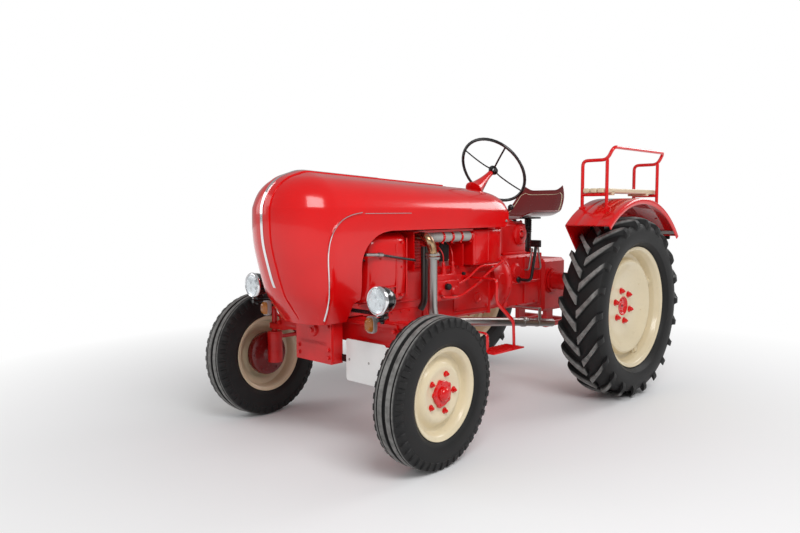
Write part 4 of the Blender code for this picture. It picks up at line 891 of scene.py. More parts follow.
def makeShroud():
    shape = Shape()
    softBox(shape, spot(0, 0.166, 0), [(0.7215, 0.205, 0.15), (0.728, 0.214, 0.158), (0.76, 0.226, 0.164),
        (0.86, 0.233, 0.1655), (0.96, 0.2345, 0.1655), (1.02, 0.232, 0.164), (1.055, 0.222, 0.156),
        (1.074, 0.204, 0.142), (1.079, 0.19, 0.13)], 5.0, 56)
    for side in (-1, 1):
        shape.bar([(side * 0.2325, 0.205, 0.74), (side * 0.2345, 0.205, 0.9),
            (side * 0.2335, 0.205, 1.02)], 0.004, 8, wide=0.006)
        shape.bar([(side * 0.229, 0.285, 0.74), (side * 0.229, 0.285, 1.05)], 0.0035, 8, wide=0.005)
        shape.bar([(side * 0.234, 0.08, 0.8), (side * 0.2352, 0.2, 0.8)], 0.004, 8, wide=0.006)
        shape.bolts([(side * 0.2325, y, z) for y, z in ((0.09, 0.75), (0.245, 0.75), (0.245, 0.9),
            (0.245, 1.03), (0.09, 0.95))], (side, 0, 0), 0.006, 0.006)
    shape.done("fanShroud", "red", "fan_housing")


block = {"cover": ((0, 0), (20, 0), (26, 6), (32, 6), (36, 0), (36, -10), (0, -10)),
    "fin": ((0, 0), (67, 0), (68.5, 2.5), (67, 5), (0, 5))}


def makeBlock():
    half = engine["half"]
    shape = Shape()
    for side in (-1, 1):
        for thick, low, high in ((0.01, (0.22, 0.575), (0.47, 0.66)), (0.008, (0.76, 0.6), (1.09, 0.82))):
            faces = sorted((side * half, side * (half + thick)))
            shape.block((faces[0], *low), (faces[1], *high), 0.004)
        for y in (0.24, 0.31, 0.38, 0.45):
            shape.bolts([(side * (half + 0.01), y, z) for z in (0.585, 0.65)], (side, 0, 0), 0.006, 0.006)
        for step in range(7):
            shape.bolt((side * (half + 0.001), 0.23 + 0.14 * step, 0.862), (side, 0, 0), 0.0065, 0.006)
            shape.bolt((side * (half - 0.02), 0.23 + 0.14 * step, 0.5605), (0, 0, -1), 0.0065, 0.006)
        shape.bar([(side * (half + 0.004), 0.5001, 0.58), (side * (half + 0.004), 0.5, 0.86)], 0.004, 8,
            wide=0.008)
        shape.bar([(side * (half + 0.002), 0.21, 0.7), (side * (half + 0.002), 1.11, 0.7)], 0.005, 8,
            wide=0.004)
        shape.lathe(block["cover"], (side * (half + 0.009), 0.98, 0.665), (side, 0, 0), 32)
        shape.bolts([(side * (half + 0.008), *corner) for corner in ((0.78, 0.61), (0.78, 0.81),
            (1.07, 0.61), (1.07, 0.81), (0.925, 0.81))], (side, 0, 0), 0.0065, 0.006)
    shape.block((-0.155, 1.095, 0.556), (0.155, 1.119, 0.875), 0.004)
    shape.done("crankcaseCovers", "castRed")
    shape = Shape()
    for index in range(3):
        y = 0.43 + 0.14 * index
        for fin in range(9):
            z = 0.886 + fin * 0.017
            shape.lathe(block["fin"], (0, y, z), (0, 0, 1), 32)
        for side in (-1, 1):
            shape.bolt((side * 0.1, y, 1.1), (side, 0, 0), 0.007, 0.007)
            shape.bolt((side * 0.055, y + 0.05, 1.16), (0, 0, 1), 0.007, 0.007)
    shape.block((-0.085, 0.36, 1.155), (0.085, 0.77, 1.172), 0.006)
    shape.done("cylinderFins", "castRed")


def makeSidePanel():
    shape = Shape()
    low = engine["top"] + 0.0005
    shape.block((0.06, 0.85, low), (0.232, 1.1195, 1.0795), 0.012, 3)
    shape.block((0.228, 0.862, low + 0.012), (0.2345, 1.108, 1.068), 0.003)
    shape.bar([(0.2335, 0.985, low + 0.02), (0.2335, 0.985, 1.06)], 0.0025, 8, wide=0.005)
    shape.bolts([(0.2345, y, z) for y, z in ((0.875, 0.897), (1.095, 0.897), (0.875, 1.055),
        (1.095, 1.055))], (1, 0, 0), 0.0055, 0.005)
    shape.done("sidePanel", "red", "side_box")
    shape = Shape()
    shape.loft([[spot(x, y, z) for y, z in ((0.345, 1.079), (0.4, 1.085), (0.84, 1.086), (0.84, 1.075),
        (0.345, 1.072))] for x in (0.1, 0.232)])
    shape.loft([[spot(x, y, z) for x, y in ((0.1, 0.78), (0.205, 0.78), (0.205, 0.786), (0.1, 0.786))]
        for z in (0.872, 1.0)])
    shape.loft([[spot(x, y, z) for x, y in ((0.1, 0.338), (0.23, 0.338), (0.23, 0.344), (0.1, 0.344))]
        for z in (0.872, 1.08)])
    shape.done("airBaffles", "red")


hose = {"clamp": ((27.5, 8), (31.5, 8), (31.5, -8), (27.5, -8))}


def makeHose():
    z = engine["hoseZ"]
    x = engine["hoseX"]
    path = eased([spot(0.1003, 0.49, 1.06), spot(0.15, 0.49, 1.06), spot(x, 0.52, z), spot(x, 0.8495, z)],
        0.07)
    fine = []
    for before, after in zip(path, path[1:]):
        count = max(1, round((after - before).length / 0.004))
        fine += [before.lerp(after, step / count) for step in range(count)]
    fine.append(path[-1])
    shape = Shape()
    rings = []
    for placeInPath, point in enumerate(fine):
        heading = (fine[min(placeInPath + 1, len(fine) - 1)] - fine[max(placeInPath - 1, 0)]).normalized()
        across = heading.cross((0, 0, 1)).normalized()
        up = across.cross(heading)
        radius = 0.0275 + 0.0022 * math.sin(placeInPath * math.pi / 1.5)
        rings.append([point + across * radius * math.cos(math.tau * side / 24)
            + up * radius * math.sin(math.tau * side / 24) for side in range(24)])
    shape.loft(rings)
    shape.done("intakeHose", "paleHose", "intake_pipe", sharp=60)
    shape = Shape()
    for y in (0.585, 0.665, 0.745, 0.835):
        shape.lathe(hose["clamp"], (x, y, z), (0, 1, 0), 32)
        shape.block((x + 0.01, y - 0.006, z - 0.038), (x + 0.018, y + 0.006, z - 0.028), 0.002)
    shape.done("hoseClamps", "red")


pump = {"cap": ((0, 12), (24, 12), (30, 6), (34, 0), (34, -10), (0, -10)),
    "filler": ((0, 26), (12, 26), (16, 20), (16, 4), (22, 0), (22, -10), (0, -10)),
    "holder": ((0, 66), (7, 66), (10, 60), (10, 40), (14, 36), (14, 12), (18, 8), (18, -4), (0, -4)),
    "union": ((0, 20), (9, 20), (12, 12), (16, 0), (0, 0)),
    "knob": ((0, 30), (14, 29), (18, 24), (18, 6), (14, 0), (0, 0)),
    "smallKnob": ((0, 16), (8, 16), (10, 10), (10, 0), (0, 0))}


def makePump():
    shape = Shape()
    shape.block((0.1503, 0.505, 0.685), (0.222, 0.735, 0.8), 0.01, 3)
    shape.block((0.16, 0.52, 0.795), (0.212, 0.72, 0.835), 0.008, 3)
    shape.lathe(pump["cap"], (0.2225, 0.69, 0.735), (1, 0, 0), 32)
    shape.lathe(pump["filler"], (0.2215, 0.56, 0.735), (1, 0, 0), 28)
    shape.bolts([(0.222, y, z) for y, z in ((0.53, 0.7), (0.53, 0.785), (0.62, 0.7), (0.62, 0.785),
        (0.72, 0.785))], (1, 0, 0), 0.006, 0.006)
    for index in range(3):
        y = 0.54 + 0.08 * index
        shape.lathe(pump["holder"], (0.195, y, 0.834), (0, 0, 1), 20)
        shape.bar([(0.195, y, 0.895), (0.195, y, 0.945), (0.17, y - 0.03 + 0.02 * index, 0.985),
            (0.095, 0.43 + 0.14 * index, 1.06)], 0.0038, 8, 0.03)
        shape.lathe(pump["union"], (0.099, 0.43 + 0.14 * index, 1.06), (1, 0, 0), 16)
    shape.done("fuelPump", "castRed", "injection_pump")
    shape = Shape()
    shape.bar([(0.19, 0.56, 0.712), (0.245, 0.59, 0.705), (0.25, 0.7, 0.7), (0.245, 0.86, 0.76),
        (0.243, 1.0, 0.835), (0.243, 1.115, 0.88)], 0.0085, 10, 0.06)
    shape.bar([(0.243, 1.115, 0.88), (0.2, 1.135, 0.89), (0.12, 1.15, 0.89)], 0.0085, 10, 0.03)
    shape.bar([(0.21, 0.735, 0.77), (0.235, 0.79, 0.8), (0.238, 0.9, 0.865), (0.238, 1.1, 0.865)], 0.0075,
        10, 0.04)
    shape.done("oilPipes", "red")
    shape = Shape()
    shape.lathe(pump["knob"], (0.222, 0.615, 0.765), (1, 0, 0), 24)
    shape.lathe(pump["smallKnob"], (0.222, 0.76, 0.83), (1, 0, 0), 20)
    shape.done("pumpKnob", "hose")


def makeControlRod():
    shape = Shape()
    shape.bar([(0.25, -0.03, 0.976), (0.25, 0.055, 0.972)], 0.0085, 14)
    shape.bar([(0.25, 0.055, 0.972), (0.25, 0.085, 0.97)], 0.012, 6)
    shape.done("rodFerrule", "steel")
    shape = Shape()
    shape.bar([(0.25, 0.08, 0.97), (0.25, 0.33, 0.93), (0.225, 0.345, 0.928), (0.16, 0.36, 0.925)], 0.0065,
        10, 0.02)
    shape.bar([(0.25, -0.028, 0.976), (0.2, -0.028, 0.96), (0.19, 0.02, 0.94)], 0.0055, 10, 0.02)
    shape.done("controlRod", "black")


rightSide = {"cleaner": ((0, 348), (20, 347), (46, 338), (55, 328), (55, 286), (57.5, 282), (57.5, 270),
    (55, 266), (55, 60), (57.5, 56), (57.5, 46), (54, 40), (52, 4), (46, 0), (0, 0)),
    "dynamo": ((0, 262), (20, 260), (22, 252), (44, 250), (50, 244), (50, 205), (47.5, 202), (47.5, 196),
    (50, 193), (50, 50), (48, 46), (48, 12), (40, 4), (16, 0), (0, 0)),
    "pulley": ((0, 0), (34, 0), (36, -4), (26, -10), (36, -16), (34, -20), (0, -20))}


def makeRightSide():
    shape = Shape()
    shape.lathe(rightSide["cleaner"], (-0.2063, 0.95, 0.676), (0, 0, 1), 40)
    shape.bar([(-0.206, 0.95, 1.02), (-0.206, 0.95, 1.055), (-0.206, 0.9, 1.065), (-0.09, 0.78, 1.075)],
        0.02, 14, 0.04)
    shape.done("airCleaner", "black", "air_cleaner")
    shape = Shape()
    shape.lathe(rightSide["dynamo"], (-0.2003, 0.445, 0.76), (0, 1, 0), 40)
    shape.lathe(rightSide["pulley"], (-0.2003, 0.445, 0.76), (0, 1, 0), 40)
    shape.bolt((-0.2003, 0.424, 0.76), (0, -1, 0), 0.009, 0.009)
    shape.done("dynamo", "black", "dynamo")


exhaust = {"flange": ((0, 10), (36, 10), (38, 6), (38, 0), (0, 0))}


def makeExhaust():
    shape = Shape()
    shape.bar([(0.1003, 0.4, 1.055), (0.2, 0.4, 1.055), (0.298, 0.375, 1.052), (0.3, 0.408, 0.99),
        (0.3, 0.41, 0.95)], 0.0245, 24, 0.055)
    shape.lathe(exhaust["flange"], (0.1005, 0.4, 1.055), (1, 0, 0), 32)
    shape.done("exhaustElbow", "bronze", "exhaust_elbow", sharp=50)
    shape = Shape()
    for z in (0.9545, 0.9375):
        rings = []
        for height in (z, z + 0.009):
            ring = []
            for step in range(32):
                angle = math.tau * step / 32
                reach = 0.036 + 0.011 * abs(math.cos(angle)) ** 6
                ring.append(spot(0.3 + reach * math.cos(angle), 0.41 + reach * math.sin(angle), height))
            rings.append(ring)
        shape.loft(rings)
    for side in (-1, 1):
        shape.bolt((0.3 + side * 0.037, 0.41, 0.9635), (0, 0, 1), 0.006, 0.006, False)
        shape.bolt((0.3 + side * 0.037, 0.41, 0.9375), (0, 0, -1), 0.006, 0.006, False)
    shape.bar([(0.3, 1.247, 0.501), (0.3, 1.277, 0.497)], 0.0315, 32)
    shape.bolt((0.333, 1.262, 0.515), (0, 1, 0), 0.006, 0.02)
    shape.done("exhaustClamps", "steel")
    shape = Shape()
    path = [spot(0.3, 0.41, 0.938), spot(0.3, 0.41, 0.6), spot(0.3, 0.6, 0.575), spot(0.3, 1.17, 0.51),
        spot(0.3, 1.588, 0.455)]
    shape.bar(path, 0.0258, 28, 0.085)
    shape.block((0.1405, 1.4, 0.565), (0.322, 1.428, 0.573), 0.003)
    shape.block((0.316, 1.4, 0.478), (0.324, 1.428, 0.572), 0.003)
    shape.bar([(0.3, 1.404, 0.48), (0.3, 1.424, 0.478)], 0.0295, 28)
    shape.done("exhaustPipe", "steel", "exhaust_pipe", sharp=50)
    shape = Shape()
    shape.bar([(0.236, 0.415, 1.0), (0.236, 0.415, 0.7), (0.21, 0.415, 0.66)], 0.019, 20, 0.03)
    shape.done("breatherPipe", "darkPipe")


makeFrontAxle()
for knuckleSide, knuckleName in sides:
    makeKnuckle(knuckleSide, knuckleName)
makeSupport()
makeShroud()
makeBlock()
makeSidePanel()
makeHose()
makePump()
makeControlRod()
makeRightSide()
makeExhaust()
print("axle and engine made")


driveLine = {"bell": ((155, 0), (190, 0), (190, 12), (182, 16), (176, 80), (168, 140), (182, 164),
    (190, 168), (190, 179.5), (0, 179.5), (0, 0)), "sideCap": ((0, 6), (34, 6), (40, 0), (40, -20),
    (0, -20)), "boss": ((0, 16), (34, 15), (42, 8), (50, 5), (52, -4), (0, -4)),
    "rearBoss": ((0, 18), (30, 18), (46, 10), (60, 8), (62, -2), (0, -2))}


# Drive line behind the engine
def makeDriveLine():
    shape = Shape()
    shape.lathe(driveLine["bell"], (0, 1.1203, 0.74), (0, 1, 0), 56)
    for y, way in ((1.1335, 1), (1.2875, -1)):
        shape.boltCircle((0, y, 0.74), (0, way, 0), 0.181, 14, 0.006, 0.008, 0.5)
    shape.block((-0.12, 1.131, 0.85), (0.12, 1.21, 1.0995), 0.008, 3)
    for side in (-1, 1):
        shape.lathe(driveLine["sideCap"], (side * 0.17, 1.21, 0.76), (side, 0, 0), 32)
        shape.bolts([(side * 0.1195, 1.17, z) for z in (0.93, 1.05)], (side, 0, 0), 0.008, 0.008)
    shape.done("bellHousing", "castRed", "bell_housing")
    shape = Shape()
    for side in (-1, 1):
        wall = side * 0.14
        for y in (1.32, 1.42, 1.52, 1.62):
            shape.bolts([(wall, y, z) for z in (0.882, 0.578)], (side, 0, 0), 0.0065, 0.007)
        shape.bar([(wall, 1.305, 0.72), (wall, 1.69, 0.72)], 0.008, 8, wide=0.006)
        shape.bar([(wall, 1.5, 0.58), (wall, 1.5, 0.88)], 0.006, 8, wide=0.01)
        shape.lathe(driveLine["boss"], (wall, 1.405, 0.8), (side, 0, 0), 36)
        shape.boltCircle((wall + side * 0.005, 1.405, 0.8), (side, 0, 0), 0.045, 6, 0.0045, 0.006)
    shape.block((-0.145, 1.675, 0.555), (0.145, 1.6995, 0.905), 0.004)
    shape.done("gearboxCovers", "castRed")
    shape = Shape()
    for side in (-1, 1):
        for outer, size in ((0.166, 0.088), (0.182, 0.08), (0.24, 0.062), (0.395, 0.062), (0.412, 0.082)):
            shape.turn([(0, 0.006), (size, 0.006), (size, -0.006), (0, -0.006)], (side * outer, 1.8, 0.71),
                (side, 0, 0), 36)
        shape.boltCircle((side * 0.174, 1.8, 0.71), (side, 0, 0), 0.076, 8, 0.006, 0.007, 0.5)
        shape.boltCircle((side * 0.405, 1.8, 0.71), (-side, 0, 0), 0.073, 8, 0.005, 0.006, 0.5)
    for x in (-0.11, -0.04, 0.04, 0.11):
        shape.bolts([(x, 1.9805, z) for z in (0.845, 0.515)], (0, 1, 0), 0.0065, 0.007)
    shape.lathe(driveLine["rearBoss"], (0, 1.9805, 0.76), (0, 1, 0), 40)
    shape.done("axleFlanges", "castRed")
    shape = Shape()
    for side in (-1, 1):
        for y, z, size in ((wheelbase, rearAxleZ, 0.1), (1.8, 0.71, 0.1)):
            shape.turn([(0, 0.01), (size * 0.5, 0.01), (size * 0.8, 0.004), (size * 0.94, 0.003),
                (size * 0.99, -0.003), (0, -0.003)], (side * 0.495, y, z), (side, 0, 0), 44)
            shape.boltCircle((side * 0.498, y, z), (side, 0, 0), size * 0.86, 7, 0.0055, 0.006)
    shape.done("finalDriveCovers", "castRed")


controls = {"sideCover": ((0, 22), (50, 22), (60, 17), (64, 13), (70, 10), (70, -10), (0, -10)),
    "coverCap": ((0, 6), (16, 5), (20, 0), (0, 0)), "knob": ((0, 20), (8, 18.5), (14.5, 13.5), (18.5, 6),
    (19.5, -2), (16.5, -11), (10, -17.5), (0, -20)), "boot": ((0, 18), (9, 18), (14, 10), (20, 0),
    (20, -1), (0, -1)), "pivot": ((0, 12), (18, 12), (22, 6), (22, 0), (0, 0)),
    "grip": ((0, 30), (9, 28), (12, 18), (9, 2), (0, 0))}


def makeControls():
    shape = Shape()
    start = 1.3006
    shape.block((-0.085, start + 0.02, 0.9005), (0.085, start + 0.3, 1.105), 0.018, 3)
    shape.block((-0.07, start + 0.04, 1.1), (0.07, start + 0.28, 1.1195), 0.005)
    for side in (-1, 1):
        shape.block((side * 0.088 - 0.006, start + 0.03, 0.901),
            (side * 0.088 + 0.006, start + 0.29, 0.916), 0.003)
        shape.bolts([(side * 0.06, start + y, 1.1195) for y in (0.05, 0.16, 0.27)], (0, 0, 1), 0.006, 0.006)
    shape.lathe(controls["sideCover"], (0.083, start + 0.22, 1.03), (1, 0, 0), 44)
    shape.boltCircle((0.094, start + 0.22, 1.03), (1, 0, 0), 0.06, 8, 0.0045, 0.005, 0.5)
    shape.lathe(controls["coverCap"], (0.105, start + 0.22, 1.03), (1, 0, 0), 28)
    shape.done("steeringBox", "castRed", "steering_box")
    shape = Shape()
    shape.bar([(0.05, start + 0.06, 1.119), (0.05, start + 0.06, 1.14), (0.08, start + 0.06, 1.17),
        (0.12, start + 0.07, 1.21)], 0.0075, 12, 0.02)
    shape.lathe(controls["knob"], (0.12, start + 0.07, 1.21), (0.35, 0.05, 1), 28)
    shape.lathe(controls["boot"], (0.05, start + 0.06, 1.1205), (0, 0, 1), 24)
    shape.done("gearLever", "black", "gear_lever")
    for side, node in ((1, "clutch_pedal"), (-1, "brake_pedal")):
        shape = Shape()
        shape.bar([(side * gearboxWall, start + 0.13, 0.74), (side * 0.24, start + 0.13, 0.74),
            (side * 0.25, start + 0.17, 0.97)], 0.0105, 12, 0.03)
        shape.lathe(controls["pivot"], (side * gearboxWall, start + 0.13, 0.74), (side, 0, 0), 28)
        shape.block((side * 0.25 - 0.04, start + 0.157, 0.955), (side * 0.25 + 0.04, start + 0.17, 1.0),
            0.004, 3)
        for rib in range(5):
            shape.block((side * 0.25 - 0.034, start + 0.1525, 0.9595 + rib * 0.0085),
                (side * 0.25 + 0.034, start + 0.158, 0.964 + rib * 0.0085), 0.0012, 1)
        shape.done("pedal" + ("Left" if side > 0 else "Right"), "black", node)
    shape = Shape()
    for x, y, z, lean in ((-0.19, 1.56, 0.93, 0.05), (0.19, 1.62, 0.9, -0.04), (0.175, 1.5, 0.86, 0.03)):
        shape.bar([(x * 0.75, y, 0.8), (x, y, 0.8), (x, y + lean, z + 0.06)], 0.0065, 10, 0.02)
        shape.lathe(controls["grip"], (x, y + lean, z + 0.055), (0, 0, 1), 20)
    shape.done("handLevers", "steel")


cowlSizes = {"front": 0.79, "rear": 1.2, "low": 1.1, "half": 0.26}


def makeCowl():
    upper = [row for row in hoodRows if row[0] >= hood["crease"] - 0.001]
    outline = [(row[1] * cowlSizes["half"] / 0.27, row[0] - 0.0085) for row in upper]
    outline += [(cowlSizes["half"], 1.15), (cowlSizes["half"] - 0.001, 1.122),
        (cowlSizes["half"] - 0.006, 1.108), (cowlSizes["half"] - 0.02, 1.1005)]
    outline = outline + [(-x, z) for x, z in reversed(outline) if x > 0.0001]
    shape = Shape()
    rings = []
    for share in [0.0, 0.2, 0.4, 0.6] + [0.6 + 0.4 * math.sin(math.pi / 2 * step / 9)
            for step in range(1, 10)]:
        y = cowlSizes["front"] + (cowlSizes["rear"] - cowlSizes["front"]) * share
        inset = 0.042 * (1 - math.sqrt(max(0.0, 1 - (max(0.0, share - 0.6) / 0.4) ** 2)))
        shrink = 1 - inset / cowlSizes["half"]
        ring = []
        for x, z in outline:
            drop = hood["drop"] * y * max(0.0, (z - hood["crease"]) / (1.383 - hood["crease"]))
            ring.append(spot(x * shrink, y, cowlSizes["low"]
                + (z - drop - cowlSizes["low"]) * (1 - inset / 0.25)))
        rings.append(ring)
    shape.loft(rings)
    shape.done("cowl", "red", "cowl", sharp=45)
    shape = Shape()
    for x, z, size in ((-0.11, 1.215, 0.034), (0.11, 1.215, 0.034), (0.0, 1.175, 0.016)):
        shape.turn([(size * 0.8, 0.0045), (size, 0.006), (size * 1.08, 0.002), (size * 1.08, -0.02),
            (0, -0.02), (0, 0.0), (size * 0.8, 0.0)], (x, 1.198, z), (0, 1, 0), 36)
    shape.done("gaugeRims", "chrome")
    shape = Shape()
    for x, size in ((-0.11, 0.0275), (0.11, 0.0275)):
        shape.turn([(0, 0.002), (size, 0.001), (size, -0.005), (0, -0.005)], (x, 1.1985, 1.215), (0, 1, 0),
            36)
        shape.bar([(x, 1.201, 1.215), (x + 0.012, 1.201, 1.229)], 0.001, 6)
    shape.done("gaugeFaces", "white")


steering = {"axis": Vector((0, 0.835, 0.55)).normalized(), "hub": (0, 1.34, 1.45), "radius": 0.23}


wheelTurned = {"shaft": ((0, 244), (9.8, 244), (9.8, 190), (0, 190)),
    "boss": ((0, 22), (16, 21.5), (20, 18), (24, 12), (32, 9), (33, 4), (32, -4), (27, -8), (21, -24),
    (11.5, -24.5), (11.5, 4), (0, 4))}


def makeSteering():
    axis = steering["axis"]
    hub = spot(*steering["hub"])
    start = hub - axis * 0.24
    length = 0.205
    shape = Shape()
    profile = [(0, -0.02)]
    for step in range(11):
        share = step / 10
        profile.append((0.018 + 0.037 * (1 - share) ** 1.7 + 0.006 * max(0.0, 1 - share * 8),
            length * share))
    profile += [(0.0135, length + 0.002), (0, length + 0.002)]
    shape.turn(profile, start, axis, 36)
    shape.lathe(wheelTurned["shaft"], start, axis, 20)
    shape.done("steeringColumn", "red", "steering_column")
    shape = Shape()
    across = Vector((1, 0, 0))
    up = axis.cross(across)
    rings = []
    steps = 88
    for step in range(steps):
        angle = math.tau * step / steps
        reach = across * math.cos(angle) + up * math.sin(angle)
        wave = 0.0006 * max(0.0, math.cos(angle * 44))
        rings.append([hub + reach * (steering["radius"] + (0.0106 - wave) * math.cos(turn))
            + axis * (0.0095 - wave) * math.sin(turn) for turn in (math.tau * part / 14
            for part in range(14))])
    shape.loft(rings, closed=True)
    shape.lathe(wheelTurned["boss"], hub, axis, 36)
    shape.done("steeringRim", "blackGloss", "steering_wheel", body="steering_wheel")
    shape = Shape()
    for index in range(4):
        angle = math.pi / 4 + math.pi / 2 * index
        reach = across * math.cos(angle) + up * math.sin(angle)
        shape.bar([hub + reach * 0.024, hub + reach * 0.06 - axis * 0.008,
            hub + reach * 0.14 - axis * 0.008, hub + reach * (steering["radius"] - 0.003)], 0.0046, 10,
            0.03, 0.0062)
    shape.done("steeringSpokes", "black", body="steering_wheel")


seat = {"half": 0.22, "front": 1.45, "length": 0.5, "z": 1.155, "rise": 0.175, "sheet": 0.005}


def seatPoint(across, share, lift=0.0):
    narrow = 1 - 0.18 * (1 - share) ** 3 - 0.22 * max(0.0, share - 0.6) ** 2 / 0.16
    side = 0.03 * max(0.0, (abs(across) - 0.55) / 0.45) ** 2
    back = seat["rise"] * max(0.0, (share - 0.7) / 0.3) ** 1.5
    fall = -0.02 * max(0.0, (0.18 - share) / 0.18) ** 2
    hollow = -0.004 * math.cos(across * math.pi / 2) * max(0.0, math.sin(math.pi * min(share / 0.8, 1.0)))
    y = seat["front"] + seat["length"] * share - 0.03 * across ** 2 * max(0.0, share - 0.5)
    rounding = 1 - 0.1 * max(0.0, (share - 0.88) / 0.12) ** 2 - 0.05 * max(0.0, (0.1 - share) / 0.1) ** 2
    return spot(across * seat["half"] * narrow * rounding, y, seat["z"] + side + back + fall + hollow
        + lift)


def makeSeat():
    columns = 28
    rows = 34
    shape = Shape()
    rings = []
    for row in range(rows + 1):
        share = row / rows
        xs = [2 * column / columns - 1 for column in range(columns + 1)]
        rings.append([seatPoint(x, share) for x in xs] + [seatPoint(x * 0.985, share, -seat["sheet"])
            for x in reversed(xs)])
    shape.loft(rings)
    shape.done("seatPan", "darkRed", "seat_pan", sharp=50)
    rim = [seatPoint(-1, step / 30) for step in range(2, 31)] + [seatPoint(-1 + step / 10, 1.0)
        for step in range(1, 20)]
    rim += [seatPoint(1, 1 - step / 30) for step in range(29)]
    shape = Shape()
    shape.bar([point + Vector((0, 0, -0.002)) for point in rim], 0.0045, 10)
    shape.done("seatRim", "darkRed")
    stripe = [seatPoint(-0.93, step / 30, 0.0006) for step in range(4, 29)]
    stripe += [seatPoint(-0.93 + 0.093 * step, 0.965, 0.0006) for step in range(1, 20)]
    stripe += [seatPoint(0.93, 1 - step / 30, 0.0006) for step in range(2, 27)]
    shape = Shape()
    shape.bar(stripe, 0.0012, 6, wide=0.0032)
    shape.done("seatStripe", "cream")
    shape = Shape()
    foot = 1.72
    shape.block((-0.03, foot, 0.8605), (0.03, foot + 0.05, 0.9), 0.006)
    shape.block((-0.022, foot + 0.012, 0.885), (0.022, foot + 0.038, 1.14), 0.005, 3)
    shape.block((-0.09, foot - 0.1, 1.132), (0.09, foot + 0.05, 1.1445), 0.004)
    turns = 7
    for side in (-1, 1):
        spring = [spot(side * 0.062 + 0.02 * math.cos(math.tau * step / 16),
            foot - 0.06 + 0.02 * math.sin(math.tau * step / 16), 1.045 + 0.088 * step / (16 * turns))
            for step in range(16 * turns + 1)]
        shape.bar(spring, 0.0034, 6)
        shape.bar([(0, foot + 0.025, 1.03), (side * 0.062, foot - 0.06, 1.04)], 0.006, 8, wide=0.012)
    shape.done("seatPost", "black", "seat_bracket")


fender = {"radius": 0.69, "inner": 0.5, "outer": 0.8, "wall": 0.46, "rear": 40, "front": 130,
    "sheet": 0.0028, "steps": 54}


# A point on an arc about the rear axle, angles from the rear upwards
def fenderPoint(side, x, reach, angle):
    return Vector((side * x, rearAxleY + reach * math.cos(angle), rearAxleZ + reach * math.sin(angle)))


def makeFender(side, name):
    wide = fender["outer"] - fender["inner"]
    deep = fender["radius"] - fender["wall"]
    roll = [(wide - 0.014 + 0.014 * math.sin(math.pi / 2 * step / 6),
        0.014 - 0.014 * math.cos(math.pi / 2 * step / 6)) for step in range(7)]
    bend = [(0.012 - 0.012 * math.cos(math.pi / 2 * step / 5),
        0.016 - 0.016 * math.sin(math.pi / 2 * step / 5)) for step in range(6)]
    section = [(0.0, deep), (0.0, deep * 0.6), (0.0, deep * 0.3)] + bend
    section += [(0.06, 0.0), (0.075, 0.0), (0.08, 0.0025), (0.09, 0.0025), (0.095, 0.0), (0.15, 0.0),
        (wide - 0.095, 0.0), (wide - 0.09, 0.0025), (wide - 0.08, 0.0025), (wide - 0.075, 0.0)] + roll
    section += [(wide, 0.03), (wide - 0.003, 0.035)]
    span = fender["front"] - fender["rear"]
    shape = Shape()
    rings = []
    for step in range(fender["steps"] + 1):
        angle = math.radians(fender["rear"] + span * step / fender["steps"])
        rows = []
        for thick in (0.0, fender["sheet"]):
            row = []
            for across, inside in section:
                reach = fender["radius"] - inside - (thick if across > 0.004 else 0)
                inwards = thick if across < 0.004 else -thick if across > wide - 0.004 else 0
                row.append(fenderPoint(side, fender["inner"] + across + inwards, reach, angle))
            rows.append(row)
        rings.append(rows[0] + rows[1][::-1])
    shape.loft(rings)
    for degrees in (fender["front"] - 0.3, fender["rear"] + 0.3):
        angle = math.radians(degrees)
        lip = [fenderPoint(side, fender["inner"] + across, fender["radius"] - 0.005 - inside * 0.98, angle)
            for across, inside in ((0.004, deep * 0.98), (0.004, 0.012), (0.012, 0.002),
            (wide - 0.012, 0.002), (wide - 0.004, 0.012), (wide - 0.004, 0.03))]
        shape.bar(lip, 0.0046, 10)
    shape.done("fender" + name, "red", "fender_" + name.lower(), sharp=40)
    shape = Shape()
    angle = math.radians(fender["rear"] + 1.2)
    rows = []
    for lift, low in ((0.0, 0.0), (0.0, 0.03), (-0.004, 0.03), (-0.004, 0.0)):
        reach = fender["radius"] - 0.004 + lift
        turn = angle + low / fender["radius"]
        rows.append([fenderPoint(side, x, reach, turn) for x in (0.655, 0.795)])
    shape.loft([[row[end] for row in rows] for end in (0, 1)])
    shape.done("fenderEdge" + name, "paleHose")


rail = {"inner": 0.525, "outer": 0.69, "front": 1.56, "rear": 2.25, "arm": 1.495, "backX": 0.73,
    "backZ": 1.5695, "radius": 0.011, "slatTop": 1.325, "slat": 0.028}


def crownHeight(y):
    return rearAxleZ + math.sqrt(max(0.0, fender["radius"] ** 2 - (y - wheelbase) ** 2))


railTurned = {"foot": ((0, 6), (14, 6), (21, 2), (21, -3), (0, -3)),
    "bolt": ((0, 2.2), (4, 1.8), (7.5, 0), (7.5, -3), (0, -3))}


